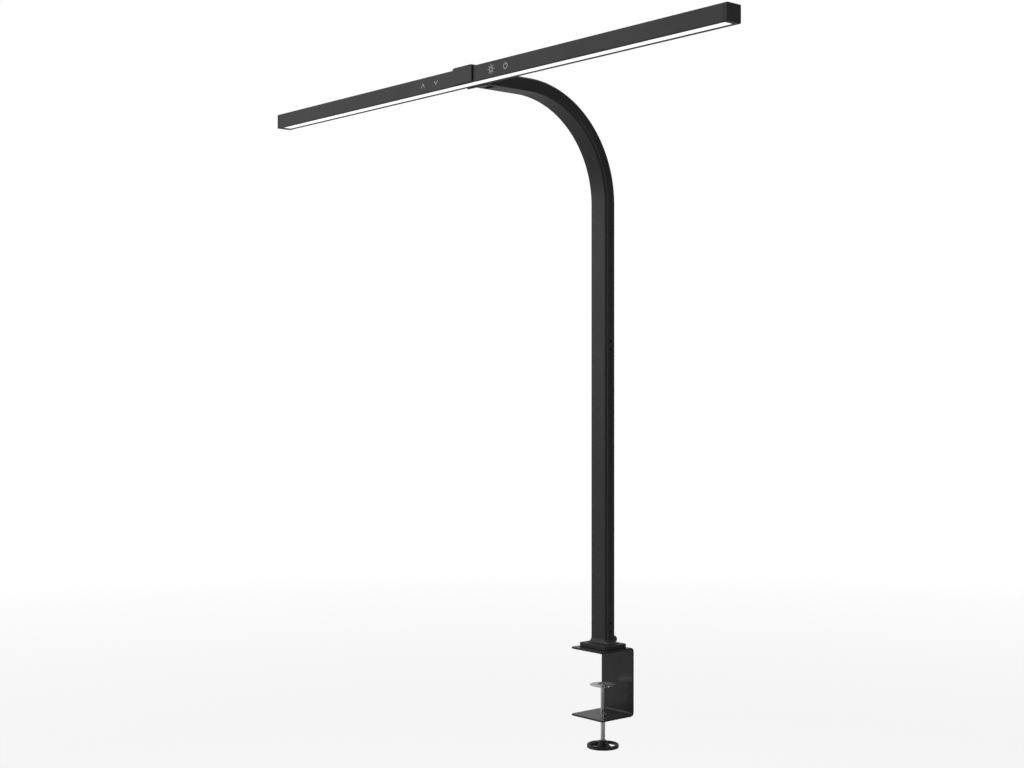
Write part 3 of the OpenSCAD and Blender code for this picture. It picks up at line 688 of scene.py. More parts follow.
# takes cutters away from a piece and drops them
def cutAway(piece, cutters):
    for cutter in cutters:
        cut = piece.modifiers.new("cutAway", "BOOLEAN")
        cut.operation = "DIFFERENCE"
        cut.solver = "EXACT"
        cut.object = cutter
    freeze(piece)
    for cutter in cutters:
        bpy.data.objects.remove(cutter)


# turns the modifiers' result into the piece's own plain mesh
def freeze(piece):
    graph = bpy.context.evaluated_depsgraph_get()
    shaped = piece.evaluated_get(graph)
    data = bpy.data.meshes.new_from_object(shaped, preserve_all_data_layers=True, depsgraph=graph)
    piece.modifiers.clear()
    piece.data = data
    return piece


# smooths what is round, keeps flat faces flat, and hands the piece to its body
def finishPiece(piece, body, nodes, slot, material=None, sharp=38):
    if piece.modifiers:
        freeze(piece)
    data = piece.data
    data.polygons.foreach_set("use_smooth", [True] * len(data.polygons))
    data.set_sharp_from_angle(angle=math.radians(sharp))
    weighted = piece.modifiers.new("flatFaces", "WEIGHTED_NORMAL")
    weighted.keep_sharp = True
    weighted.weight = 60
    freeze(piece)
    if material is not False:
        piece.data.materials.clear()
        piece.data.materials.append(material or finishes[slot])
    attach(piece, body)
    if nodes:
        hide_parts(*nodes)
    return piece


def joinPieces(name, pieces):
    mesh = bmesh.new()
    for piece in pieces:
        mesh.from_mesh(piece.data)
        bpy.data.objects.remove(piece)
    return pieceFromMesh(name, mesh)


# Geometry Nodes helpers


def newTree(name, inputs):
    tree = bpy.data.node_groups.new(name, "GeometryNodeTree")
    tree.is_modifier = True
    tree.interface.new_socket(name="Geometry", in_out="OUTPUT", socket_type="NodeSocketGeometry")
    for label, kind in inputs.items():
        tree.interface.new_socket(name=label, in_out="INPUT", socket_type="NodeSocket" + kind)
    return tree, addNode(tree, "NodeGroupInput"), addNode(tree, "NodeGroupOutput")


def closeTree(tree, given, result, geometry):
    whole = addNode(tree, "GeometryNodeRealizeInstances", {0: geometry})
    painted = addNode(tree, "GeometryNodeSetMaterial", {"Geometry": whole.outputs[0],
                                                        "Material": given.outputs["Material"]})
    tree.links.new(painted.outputs[0], result.inputs[0])


# makes a piece from a tree; its inputs are set before it is first worked out
def treePiece(name, tree, values):
    piece = newPiece(name, bpy.data.meshes.new(name))
    modifier = piece.modifiers.new(tree.name, "NODES")
    modifier.node_group = tree
    for socket in tree.interface.items_tree:
        if socket.item_type == "SOCKET" and socket.in_out == "INPUT":
            modifier[socket.identifier] = values[socket.name]
    return freeze(piece)


# mast

# a rounded tube section carried up, round one bend and out
def makeTubeSweep():
    tree, given, result = newTree("tubeSweep", {
        "Start": "Vector", "Elbow": "Vector", "End": "Vector", "Bend Radius": "Float", "Bend Steps": "Int",
        "Width": "Float", "Depth": "Float", "Corner": "Float", "Corner Steps": "Int", "Material": "Material"})
    path = addNode(tree, "GeometryNodeMeshLine", {"Count": 3})
    where = addNode(tree, "GeometryNodeIndexSwitch", data_type="VECTOR")
    where.index_switch_items.new()
    order = addNode(tree, "GeometryNodeInputIndex")
    feed(tree, where, "Index", order.outputs[0])
    for slotNumber, label in enumerate(("Start", "Elbow", "End")):
        feed(tree, where, slotNumber + 1, given.outputs[label])
    placed = addNode(tree, "GeometryNodeSetPosition", {"Geometry": path.outputs[0],
                                                       "Position": where.outputs[0]})
    line = addNode(tree, "GeometryNodeMeshToCurve", {"Mesh": placed.outputs[0]})
    bend = addNode(tree, "GeometryNodeFilletCurve", {"Curve": line.outputs[0],
                                                     "Count": given.outputs["Bend Steps"],
                                                     "Radius": given.outputs["Bend Radius"]}, mode="POLY")
    section = addNode(tree, "GeometryNodeCurvePrimitiveQuadrilateral", {"Width": given.outputs["Width"],
                                                                        "Height": given.outputs["Depth"]})
    rounded = addNode(tree, "GeometryNodeFilletCurve", {"Curve": section.outputs[0],
                                                        "Count": given.outputs["Corner Steps"],
                                                        "Radius": given.outputs["Corner"]}, mode="POLY")
    swept = addNode(tree, "GeometryNodeCurveToMesh", {"Curve": bend.outputs[0],
                                                      "Profile Curve": rounded.outputs[0]})
    closeTree(tree, given, result, swept.outputs[0])
    return tree


tubeSweep = makeTubeSweep()
lowerLow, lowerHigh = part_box("mast_lower")
upperLow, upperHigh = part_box("mast_upper")

mast = {
    "width": lowerHigh.x - lowerLow.x,
    "depth": lowerHigh.y - lowerLow.y,
    "corner": 3.5 * mm,
    "wall": 1.5 * mm,
    "archRadius": 131 * mm,
    "archSteps": 56,
    "cornerSteps": 8,
    "endEase": 0.12 * mm,
    "holeRadius": 2.04 * mm,
}
mast["armHeight"] = upperHigh.z - mast["depth"] / 2


def drilledRod(place, radius, length, turn):
    rod = turnedPiece("drill", [(0, 0), (radius, 0), (radius, length), (0, length)], 40)
    rod.data.transform(turn)
    return movePiece(rod, None, place)


# the turn that lays something upright along a direction
def turnTo(*direction):
    return Vector((0, 0, 1)).rotation_difference(Vector(direction)).to_matrix().to_4x4()


turnToX, turnFromX, turnToY, upright = turnTo(1, 0, 0), turnTo(-1, 0, 0), turnTo(0, 1, 0), turnTo(0, 0, 1)


def screwCentres(node):
    low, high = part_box(node)
    middle = (low + high) / 2
    reach = (high.z - low.z) / 2 - 2 * mm
    return [Vector((high.x, middle.y, middle.z + s * reach)) for s in (-1, 1)]


def makeMastTube(name, node, start, elbow, end, holes):
    tube = treePiece(name, tubeSweep, {
        "Start": start, "Elbow": elbow, "End": end, "Bend Radius": mast["archRadius"],
        "Bend Steps": mast["archSteps"], "Width": mast["width"], "Depth": mast["depth"],
        "Corner": mast["corner"], "Corner Steps": mast["cornerSteps"], "Material": finishes["black_coat"]})
    mesh = bmesh.new()
    mesh.from_mesh(tube.data)
    bmesh.ops.remove_doubles(mesh, verts=mesh.verts, dist=0.001 * mm)
    mesh.to_mesh(tube.data)
    mesh.free()
    wall = tube.modifiers.new("wall", "SOLIDIFY")
    wall.thickness = mast["wall"]
    wall.offset = -1
    wall.use_even_offset = True
    freeze(tube)
    cutAway(tube, holes)
    addBevel(tube, mast["endEase"], 2, 50)
    return finishPiece(tube, "stand", [node], "black_coat", sharp=45)


lowerHoles = [drilledRod(c - Vector((3 * mm, 0, 0)), mast["holeRadius"], 6 * mm, turnToX)
              for c in screwCentres("base_set_screws")]
makeMastTube("mastLowerTube", "mast_lower", (0, 0, lowerLow.z), (0, 0, (lowerLow.z + lowerHigh.z) / 2),
             (0, 0, lowerHigh.z), lowerHoles)

tipLow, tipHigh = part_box("tip_set_screw")
tipMiddle = (tipLow + tipHigh) / 2
upperHoles = [drilledRod(c - Vector((3 * mm, 0, 0)), mast["holeRadius"], 6 * mm, turnToX)
              for c in screwCentres("mid_set_screws")]
upperHoles.append(drilledRod((tipMiddle.x, tipMiddle.y, upperHigh.z - mast["depth"] - 3 * mm),
                             mast["holeRadius"], 6 * mm, upright))
makeMastTube("mastUpperTube", "mast_upper", (0, 0, upperLow.z), (0, 0, mast["armHeight"]),
             (0, upperLow.y, mast["armHeight"]), upperHoles)
print("mast tubes")

# set screws

setScrew = {"radius": 2.0 * mm, "length": 4.4 * mm, "socket": 1.1 * mm, "socketDepth": 1.8 * mm,
            "ease": 0.25 * mm}


# one grub screw: outer end at the origin, body along -X
def makeGrubScrew():
    outline = softOutline([(0, 0), (setScrew["radius"], 0), (setScrew["radius"], setScrew["length"]),
                           (0, setScrew["length"])], 0, 1, closed=False)
    body = turnedPiece("grubScrew", outline, 32)
    key = turnedPiece("hexKey", [(0, -mm), (setScrew["socket"], -mm),
                                 (setScrew["socket"], setScrew["socketDepth"]),
                                 (0, setScrew["socketDepth"] + 0.5 * mm)], 6)
    cutAway(body, [key])
    addBevel(body, setScrew["ease"], 2, 50)
    freeze(body)
    body.data.transform(turnFromX)
    body.hide_render = True
    return body


# repeats one object along a line
def makeRowOfPieces():
    tree, given, result = newTree("rowOfPieces", {
        "Piece": "Object", "Count": "Int", "Start": "Vector", "Step": "Vector", "Turn": "Vector",
        "Material": "Material"})
    line = addNode(tree, "GeometryNodeMeshLine", {"Count": given.outputs["Count"],
                                                  "Start Location": given.outputs["Start"],
                                                  "Offset": given.outputs["Step"]})
    source = addNode(tree, "GeometryNodeObjectInfo", {"Object": given.outputs["Piece"]})
    spin = addNode(tree, "FunctionNodeEulerToRotation", {0: given.outputs["Turn"]})
    row = addNode(tree, "GeometryNodeInstanceOnPoints", {"Points": line.outputs[0],
                                                         "Instance": source.outputs["Geometry"],
                                                         "Rotation": spin.outputs[0]})
    closeTree(tree, given, result, row.outputs[0])
    return tree


rowOfPieces = makeRowOfPieces()
grubScrew = makeGrubScrew()
for screwsName, node in (("setScrewsBase", "base_set_screws"), ("setScrewsSeam", "mid_set_screws")):
    centres = screwCentres(node)
    screws = treePiece(screwsName, rowOfPieces, {
        "Piece": grubScrew, "Count": 2, "Start": centres[0], "Step": centres[1] - centres[0],
        "Turn": (0, 0, 0), "Material": finishes["dark_screws"]})
    finishPiece(screws, "stand", [node], "dark_screws")
tipScrew = treePiece("setScrewTip", rowOfPieces, {
    "Piece": grubScrew, "Count": 1, "Start": (tipMiddle.x, tipMiddle.y, tipLow.z), "Step": (0, 0, 0),
    "Turn": (0, math.pi / 2, 0), "Material": finishes["dark_screws"]})
finishPiece(tipScrew, "stand", ["tip_set_screw"], "dark_screws")
bpy.data.objects.remove(grubScrew)
print("set screws")

# base

plateLow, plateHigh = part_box("base_plinth")
base = {
    "plateHeight": 5.3 * mm,
    "plateCorner": 1.5 * mm,
    "plateEase": 0.6 * mm,
    "lip": 1.1 * mm,
    "lipEase": 0.35 * mm,
    "spread": 4.4 * mm,
    "flareSteps": 14,
}


def makeBase():
    width = plateHigh.x - plateLow.x
    depth = plateHigh.y - plateLow.y
    bottom = plateLow.z
    top = bottom + base["plateHeight"]
    foot = lowerLow.z
    lip = top + base["lip"]
    loops = []

    def addLoop(w, d, corner, z):
        loops.append([(p.x, p.y, z) for p in roundedLoop(w, d, corner)])

    ease = base["plateEase"]
    addLoop(width - 2 * ease, depth - 2 * ease, base["plateCorner"] * 0.6, bottom)
    addLoop(width, depth, base["plateCorner"], bottom + 0.3 * mm)
    for step in range(5):
        angle = math.pi / 2 * step / 4
        inset = ease * (1 - math.cos(angle))
        addLoop(width - 2 * inset, depth - 2 * inset, base["plateCorner"],
                top - ease + ease * math.sin(angle))
    # the plate's top runs in to the skirt's lip
    corner = mast["corner"] + base["spread"] / 2
    wide, deep = mast["width"] + 2 * base["spread"], mast["depth"] + 2 * base["spread"]
    addLoop(wide, deep, corner, top)
    small = base["lipEase"]
    for step in range(4):
        angle = math.pi / 2 * step / 3
        inset = small * (1 - math.cos(angle))
        addLoop(wide - 2 * inset, deep - 2 * inset, corner, lip - small + small * math.sin(angle))
    rise = foot - mm - lip
    for step in range(base["flareSteps"] + 1):
        angle = math.pi / 2 * step / base["flareSteps"]
        spread = (base["spread"] - small - 0.3 * mm) * (1 - math.sin(angle))
        addLoop(mast["width"] + 2 * spread, mast["depth"] + 2 * spread, mast["corner"] + spread / 2,
                lip + rise * (1 - math.cos(angle)))
    addLoop(mast["width"], mast["depth"], mast["corner"], foot - 0.1 * mm)
    addLoop(mast["width"] - 0.2 * mm, mast["depth"] - 0.2 * mm, mast["corner"], foot)
    return loftPiece("basePlinth", loops)


plinth = makeBase()
inletLow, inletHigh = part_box("dc_inlet")
inletMiddle = (inletLow + inletHigh) / 2
inletRadius = (inletHigh.x - inletLow.x) / 2
cutAway(plinth, [drilledRod((0, inletLow.y + mm, inletMiddle.z), inletRadius + 0.04 * mm, 30 * mm, turnToY)])
finishPiece(plinth, "stand", ["base_plinth"], "black_coat", sharp=35)

inlet = {"bore": 2.8 * mm, "boreDepth": 9 * mm, "mouth": 0.7 * mm, "ease": 0.5 * mm, "pinRadius": 1.0 * mm}


def makeInlet():
    length = inletHigh.y - inletLow.y
    outline = softOutline([
        (0, 0), (inletRadius, 0), (inletRadius, length, inlet["ease"]),
        (inlet["bore"] + inlet["mouth"], length, 0.15 * mm),
        (inlet["bore"], length - inlet["mouth"], 0.2 * mm),
        (inlet["bore"], length - inlet["boreDepth"]), (0, length - inlet["boreDepth"])], 0, 5, closed=False)
    boss = turnedPiece("powerSocket", outline, 64)
    boss.data.transform(turnToY)
    movePiece(boss, None, (0, inletLow.y, inletMiddle.z))
    finishPiece(boss, "stand", ["dc_inlet"], "black_plastic")
    pinLow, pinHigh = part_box("dc_pin")
    pinLength = pinHigh.y - pinLow.y
    pinOutline = softOutline([(0, 0), (inlet["pinRadius"], 0), (inlet["pinRadius"], pinLength, 0.6 * mm),
                              (0, pinLength)], 0, 5, closed=False)
    pin = turnedPiece("powerPin", pinOutline, 32)
    pin.data.transform(turnToY)
    movePiece(pin, None, (0, pinLow.y, inletMiddle.z))
    finishPiece(pin, "stand", ["dc_pin"], "chrome")


makeInlet()
print("base and socket")

# clamp

frameLow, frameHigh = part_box("clamp_frame")
clamp = {"sheet": 2.2 * mm, "bend": 5 * mm, "bendSteps": 12, "frontCorner": 2 * mm, "edgeEase": 0.45 * mm}


# one strip of sheet, rounded at its free corners and bent twice
def makeClampFrame():
    half = (frameHigh.x - frameLow.x) / 2
    middle = clamp["sheet"] / 2
    line = softOutline([
        (frameLow.y, frameHigh.z - middle), (frameHigh.y - middle, frameHigh.z - middle),
        (frameHigh.y - middle, frameLow.z + middle), (frameLow.y, frameLow.z + middle)],
        clamp["bend"] - middle, clamp["bendSteps"], closed=False)
    corner = clamp["frontCorner"]
    stations = []
    for step in range(7):
        angle = math.pi / 2 * step / 6
        stations.append((corner * (1 - math.cos(angle)), half - corner + corner * math.sin(angle)))
    front = line[0]
    rows = [(Vector((front.x + reach, front.y)), width) for reach, width in stations]
    rows += [(point, half) for point in line[1:-1]]
    rows += [(Vector((line[-1].x + reach, line[-1].y)), width) for reach, width in reversed(stations)]
    normals = []
    for index, (point, width) in enumerate(rows):
        before = rows[max(index - 1, 0)][0]
        after = rows[min(index + 1, len(rows) - 1)][0]
        along = (after - before).normalized()
        normals.append(Vector((-along.y, along.x)))
    loops = []
    for (point, width), normal in zip(rows, normals):
        outer, inner = point + normal * middle, point - normal * middle
        loops.append([(-width, outer.x, outer.y), (width, outer.x, outer.y),
                      (width, inner.x, inner.y), (-width, inner.x, inner.y)])
    return loftPiece("clampFrame", loops)


clampFrame = makeClampFrame()
cutAway(clampFrame, [drilledRod((0, 0, frameLow.z - mm), 4 * mm, 2 * mm + clamp["sheet"], upright)])
addBevel(clampFrame, clamp["edgeEase"], 3, 50)
finishPiece(clampFrame, "stand", ["clamp_frame"], "black_coat", material=clampBlack, sharp=40)

nutLow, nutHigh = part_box("clamp_nut")
clinchNut = {"barrel": 4 * mm, "flange": 5 * mm, "bore": 3.05 * mm}


def makeClinchNut():
    step = nutHigh.z - clamp["sheet"]
    outline = softOutline([
        (clinchNut["bore"] + 0.6 * mm, nutLow.z, 0.1 * mm), (clinchNut["flange"], nutLow.z, 0.6 * mm),
        (clinchNut["flange"], step, 0.15 * mm), (clinchNut["barrel"], step),
        (clinchNut["barrel"], nutHigh.z, 0.2 * mm), (clinchNut["bore"] + 0.5 * mm, nutHigh.z),
        (clinchNut["bore"], nutHigh.z - 0.5 * mm), (clinchNut["bore"], nutLow.z + 0.6 * mm)], 0, 5)
    nut = turnedPiece("clinchNut", outline, 72, ringed=True)
    finishPiece(nut, "stand", ["clamp_nut"], "chrome")


makeClinchNut()

deskPad = copyNode("desk_pad", "deskPadFoam")
addBevel(deskPad, 0.25 * mm, 3, 50)
finishPiece(deskPad, "stand", ["desk_pad"], "soft_pad")
print("clamp frame")

# pressure pad, screw and knob

padLow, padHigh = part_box("pressure_pad")
padRadius = (padHigh.x - padLow.x) / 2
pressurePad = {"neck": 2.05 * mm, "sheet": 1.0 * mm, "rim": 2.0 * mm, "dish": 1.8 * mm,
               "floor": 8.0 * mm}


def makePressurePad():
    floor = padHigh.z - pressurePad["dish"]
    inner = padRadius - pressurePad["rim"]
    outline = softOutline([
        (pressurePad["neck"], padLow.z), (pressurePad["floor"] - 0.4 * mm, padLow.z, 2.2 * mm),
        (padRadius - 0.4 * mm, padHigh.z - mm, 0.3 * mm), (padRadius, padHigh.z - 0.6 * mm, 0.2 * mm),
        (padRadius, padHigh.z, 0.25 * mm), (inner, padHigh.z, 0.4 * mm),
        (pressurePad["floor"], floor, 2.2 * mm), (pressurePad["neck"], floor)], 0, 5)
    pad = turnedPiece("pressurePad", outline, 128, ringed=True)
    finishPiece(pad, "pad", ["pressure_pad"], "chrome", sharp=60)


makePressurePad()

screwLow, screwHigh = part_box("clamp_screw")
screwThread = {"pitch": 1.0 * mm, "crest": 3.0 * mm, "root": 2.45 * mm, "neck": 2.0 * mm, "steps": 20,
               "plainTop": 1.6 * mm}


# a right-hand ridge wound round a core; its section narrows from foot to crest
def makeThreadRidge():
    tree, given, result = newTree("threadRidge", {
        "Turns": "Float", "Pitch": "Float", "Core": "Float", "Crest": "Float", "Steps": "Int", "Low": "Float",
        "Material": "Material"})
    height = maths(tree, "MULTIPLY", given.outputs["Turns"], given.outputs["Pitch"])
    depth = maths(tree, "SUBTRACT", given.outputs["Crest"], given.outputs["Core"])
    middle = maths(tree, "MULTIPLY", maths(tree, "ADD", given.outputs["Crest"], given.outputs["Core"]), 0.5)
    helix = addNode(tree, "GeometryNodeCurveSpiral", {
        "Resolution": given.outputs["Steps"], "Rotations": given.outputs["Turns"], "Start Radius": middle,
        "End Radius": middle, "Height": maths(tree, "MULTIPLY", height, -1.0)})
    held = addNode(tree, "GeometryNodeSetCurveNormal", {"Curve": helix.outputs[0]}, mode="Z_UP")
    tooth = addNode(tree, "GeometryNodeCurvePrimitiveQuadrilateral", {
        "Height": depth, "Bottom Width": maths(tree, "MULTIPLY", given.outputs["Pitch"], 0.9),
        "Top Width": maths(tree, "MULTIPLY", given.outputs["Pitch"], 0.16), "Offset": 0.0}, mode="TRAPEZOID")
    laid = addNode(tree, "GeometryNodeTransform", {"Geometry": tooth.outputs[0],
                                                   "Rotation": (0, 0, math.pi / 2)})
    ridge = addNode(tree, "GeometryNodeCurveToMesh", {"Curve": held.outputs[0],
                                                      "Profile Curve": laid.outputs[0],
                                                      "Fill Caps": True})
    # the spiral rises clockwise, so it is drawn downwards from the top
    lift = addNode(tree, "ShaderNodeCombineXYZ", {2: maths(tree, "ADD", given.outputs["Low"], height)})
    raised = addNode(tree, "GeometryNodeTransform", {"Geometry": ridge.outputs[0],
                                                     "Translation": lift.outputs[0]})
    closeTree(tree, given, result, raised.outputs[0])
    return tree


def makeClampScrew():
    shoulder = padLow.z - 0.05 * mm
    outline = softOutline([
        (0, screwLow.z), (screwThread["root"], screwLow.z, 0.3 * mm),
        (screwThread["root"], shoulder - screwThread["plainTop"] - 0.6 * mm),
        (screwThread["crest"] - 0.05 * mm, shoulder - screwThread["plainTop"]),
        (screwThread["crest"] - 0.05 * mm, shoulder, 0.4 * mm),
        (screwThread["neck"], shoulder), (screwThread["neck"], screwHigh.z, 0.3 * mm), (0, screwHigh.z)],
        0, 5, closed=False)
    core = turnedPiece("screwCore", outline, 48)
    length = shoulder - screwThread["plainTop"] - screwLow.z - 1.2 * mm
    ridge = treePiece("screwRidge", makeThreadRidge(), {
        "Turns": length / screwThread["pitch"], "Pitch": screwThread["pitch"],
        "Core": screwThread["root"] - 0.1 * mm, "Crest": screwThread["crest"], "Steps": screwThread["steps"],
        "Low": screwLow.z + 0.6 * mm, "Material": finishes["chrome"]})
    screw = joinPieces("clampScrew", [core, ridge])
    finishPiece(screw, "screw", ["clamp_screw"], "chrome", sharp=35)


makeClampScrew()

retainer = copyNode("pad_retainer", "padRetainer")
addBevel(retainer, 0.15 * mm, 2, 50)
finishPiece(retainer, "screw", ["pad_retainer"], "plain_steel")

knobLow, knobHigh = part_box("clamp_knob")
knobRadius = (knobHigh.x - knobLow.x) / 2
knob = {
    "ringWidth": 2.8 * mm,
    "ringHeight": 4.4 * mm,
    "ringEase": 1.1 * mm,
    "ringInside": 2.4 * mm,
    "ringSlope": 1.6 * mm,
    "hubTop": 4.7 * mm,
    "hubFoot": 8.0 * mm,
    "socket": 5.75 * mm,
    "socketDepth": 4.1 * mm,
    "footHeight": 3.0 * mm,
    "bore": 3.04 * mm,
    "spokes": 3,
    "spokeWidth": 3.6 * mm,
    "spokeStart": 230,
}


def makeKnob():
    low, ringTop = knobLow.z, knobLow.z + knob["ringHeight"]
    inner = knobRadius - knob["ringWidth"]
    ring = softOutline([(inner, ringTop - knob["ringInside"], 0.4 * mm),
                        (knobRadius - knob["ringSlope"], low, 0.3 * mm), (knobRadius, low, 0.6 * mm),
                        (knobRadius, ringTop, knob["ringEase"]), (inner, ringTop, 0.6 * mm)], 0, 6)
    rim = turnedPiece("knobRim", ring, 128, ringed=True)
    socket, socketTop = knob["socket"], low + knob["socketDepth"]
    boss = softOutline([
        (knob["bore"], knobHigh.z, 0.2 * mm), (knob["bore"], socketTop), (socket, socketTop),
        (socket, low, 0.3 * mm), (knob["hubFoot"], low, 0.5 * mm),
        (knob["hubFoot"], low + knob["footHeight"], 0.8 * mm), (knob["hubTop"], knobHigh.z, 0.9 * mm)], 0, 6)
    hub = turnedPiece("knobHub", boss, 72, ringed=True)
    half = knob["spokeWidth"] / 2
    arms = []
    for number in range(knob["spokes"]):
        side = [(socket + 0.6 * mm, low + 1.2 * mm),
                (inner + 0.8 * mm, ringTop - knob["ringInside"] + 0.2 * mm),
                (inner + 0.8 * mm, ringTop - 0.6 * mm), (knob["hubTop"] - 0.6 * mm, knobHigh.z - mm),
                (knob["hubTop"] - 0.6 * mm, socketTop + 0.3 * mm), (socket + 0.6 * mm, socketTop + 0.3 * mm)]
        arm = loftPiece("knobArm", [[(x, s * half, z) for x, z in side] for s in (-1, 1)])
        addBevel(arm, 0.8 * mm, 4, 30)
        freeze(arm)
        angle = math.radians(knob["spokeStart"] + 360 * number / knob["spokes"])
        for vertex in arm.data.vertices:
            x, y, z = vertex.co
            vertex.co = (x * math.cos(angle) - y * math.sin(angle),
                         x * math.sin(angle) + y * math.cos(angle), z)
        arms.append(arm)
    whole = joinPieces("clampKnob", [rim, hub] + arms)
    finishPiece(whole, "screw", ["clamp_knob"], "black_plastic", sharp=40)


makeKnob()

knobNut = copyNode("knob_nut", "knobNut")
addBevel(knobNut, 0.3 * mm, 3, 40)
finishPiece(knobNut, "screw", ["knob_nut"], "plain_steel")
print("pad, screw and knob")

# tilt hinge and hub

armTip = copyNode("arm_tip", "armTip")
addBevel(armTip, 0.3 * mm, 3, 40)
finishPiece(armTip, "stand", ["arm_tip"], "black_coat", sharp=30)

bracket = copyNode("hub_bracket", "hubBracket")
addBevel(bracket, 0.35 * mm, 3, 40)
finishPiece(bracket, "head", ["hub_bracket"], "black_coat", sharp=30)

for hingeNode, hingeName, body, slot, ease in (
        ("hinge_screw", "hingeScrew", "stand", "plain_steel", 0.25 * mm),
        ("hinge_nut", "hingeNut", "stand", "plain_steel", 0.25 * mm),
        ("friction_washers", "frictionWashers", "stand", "washer_fibre", 0.08 * mm),
        ("bracket_screws", "bracketScrews", "head", "plain_steel", 0.2 * mm)):
    small = copyNode(hingeNode, hingeName)
    addBevel(small, ease, 2, 40)
    finishPiece(small, body, [hingeNode], slot, sharp=30)

housingLow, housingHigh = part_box("bar_housing")
saddleLow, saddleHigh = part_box("hub_saddle")
saddle = {"corner": 1.0 * mm, "shoulder": 2.0 * mm, "edge": 0.35 * mm, "slack": 0.05 * mm,
          "barCorner": 1.0 * mm}


# a bridge over the bar's front, top and back, with its upper shoulders rounded
def makeSaddle():
    gap = saddle["slack"]
    front, back, top, low = saddleLow.y, saddleHigh.y, saddleHigh.z, saddleLow.z
    barFront, barBack, barTop = housingLow.y - gap, housingHigh.y + gap, housingHigh.z + gap
    barFloor = housingLow.z + saddle["barCorner"]
    outline = softOutline([
        (front, barFloor, 0.3 * mm), (front, top, saddle["corner"]), (back, top, saddle["corner"]),
        (back, low, saddle["corner"]), (barBack, low, 0.2 * mm), (barBack, barTop, saddle["barCorner"]),
        (barFront, barTop, saddle["barCorner"]), (barFront, barFloor)], 0, 5)
    shoulder = saddle["shoulder"]
    steps = 8
    rings = []
    half = (saddleHigh.x - saddleLow.x) / 2
    # the top follows a quarter circle in from each side
    leftRows = [(-half + shoulder * (1 - math.cos(math.pi / 2 * s / steps)),
                 shoulder * (1 - math.sin(math.pi / 2 * s / steps))) for s in range(steps + 1)]
    rightRows = [(-x, drop) for x, drop in reversed(leftRows)]
    for x, drop in leftRows + rightRows:
        ring = []
        for point in outline:
            share = max(0.0, min(1.0, (point.y - barTop) / (top - barTop)))
            ring.append((x, point.x, point.y - drop * share))
        rings.append(ring)
    return loftPiece("hubSaddle", rings)


hubSaddle = makeSaddle()
addBevel(hubSaddle, saddle["edge"], 3, 55)
finishPiece(hubSaddle, "head", ["hub_saddle"], "black_coat", sharp=40)
print("hub")

# light bar

bar = {"corner": 1.0 * mm, "lip": 1.2 * mm, "wall": 1.6 * mm, "opening": 14 * mm, "lipEase": 0.25 * mm}
barDepth = housingHigh.y - housingLow.y
barMiddle = (housingHigh.y + housingLow.y) / 2


def makeHousing():
    low, high, front, back = housingLow.z, housingHigh.z, housingLow.y, housingHigh.y
    half = bar["opening"] / 2
    ease = bar["lipEase"]
    outline = softOutline([
        (barMiddle - half, low, ease), (front, low, bar["corner"]), (front, high, bar["corner"]),
        (back, high, bar["corner"]), (back, low, bar["corner"]), (barMiddle + half, low, ease),
        (barMiddle + half, low + bar["lip"], ease), (back - bar["wall"], low + bar["lip"]),
        (back - bar["wall"], high - bar["wall"], 0.5 * mm),
        (front + bar["wall"], high - bar["wall"], 0.5 * mm),
        (front + bar["wall"], low + bar["lip"]), (barMiddle - half, low + bar["lip"], ease)], 0, 5)
    housing = barPiece("barHousing", outline, housingLow.x, housingHigh.x)
    addBevel(housing, 0.12 * mm, 2, 60)
    return finishPiece(housing, "head", ["bar_housing"], "black_anodised", sharp=40)


makeHousing()

endCap = {"edge": 1.2 * mm, "plug": 8 * mm, "cornerSteps": 5}


def makeEndCap(name, node, side):
    low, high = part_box(node)
    outerX = high.x if side > 0 else low.x
    seamX = housingHigh.x if side > 0 else housingLow.x
    width, height = high.y - low.y, high.z - low.z
    centreY, centreZ = (high.y + low.y) / 2, (high.z + low.z) / 2
    edge = endCap["edge"]
    loops = []

    def addLoop(x, inset, corner):
        loop = roundedLoop(width - 2 * inset, height - 2 * inset, corner, endCap["cornerSteps"])
        loops.append([(x, centreY + p.x, centreZ + p.y) for p in loop])

    seamEase = 0.12 * mm
    addLoop(seamX, seamEase, bar["corner"] - seamEase * 0.5)
    addLoop(seamX + side * seamEase, 0, bar["corner"])
    for step in range(6):
        angle = math.pi / 2 * step / 5
        addLoop(outerX - side * edge * (1 - math.sin(angle)), edge * (1 - math.cos(angle)),
                bar["corner"] + edge * 0.4 * (1 - math.cos(angle)))
    cap = loftPiece(name, loops)
    plugLow = housingLow.z + bar["lip"] + 1.75 * mm
    plugHigh = housingHigh.z - bar["wall"] - 0.05 * mm
    plugHalf = barDepth / 2 - bar["wall"] - 0.05 * mm
    plugOutline = softOutline([(barMiddle - plugHalf, plugLow), (barMiddle + plugHalf, plugLow),
                               (barMiddle + plugHalf, plugHigh), (barMiddle - plugHalf, plugHigh)],
                              0.5 * mm, 4)
    innerX = seamX - side * endCap["plug"]
    plug = barPiece("capPlug", plugOutline, min(innerX, seamX), max(innerX, seamX))
    addBevel(plug, 0.4 * mm, 2, 60)
    freeze(plug)
    whole = joinPieces(name + ".whole", [cap, plug])
    whole.name = name
    finishPiece(whole, "head", [node], "cap_black", sharp=40)


makeEndCap("endCapLeft", "end_cap_left", -1)
makeEndCap("endCapRight", "end_cap_right", 1)

diffuserLow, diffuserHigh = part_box("diffuser")
diffuser = {"ribs": 26, "ribDepth": 0.07 * mm, "ribStart": 0.6 * mm}


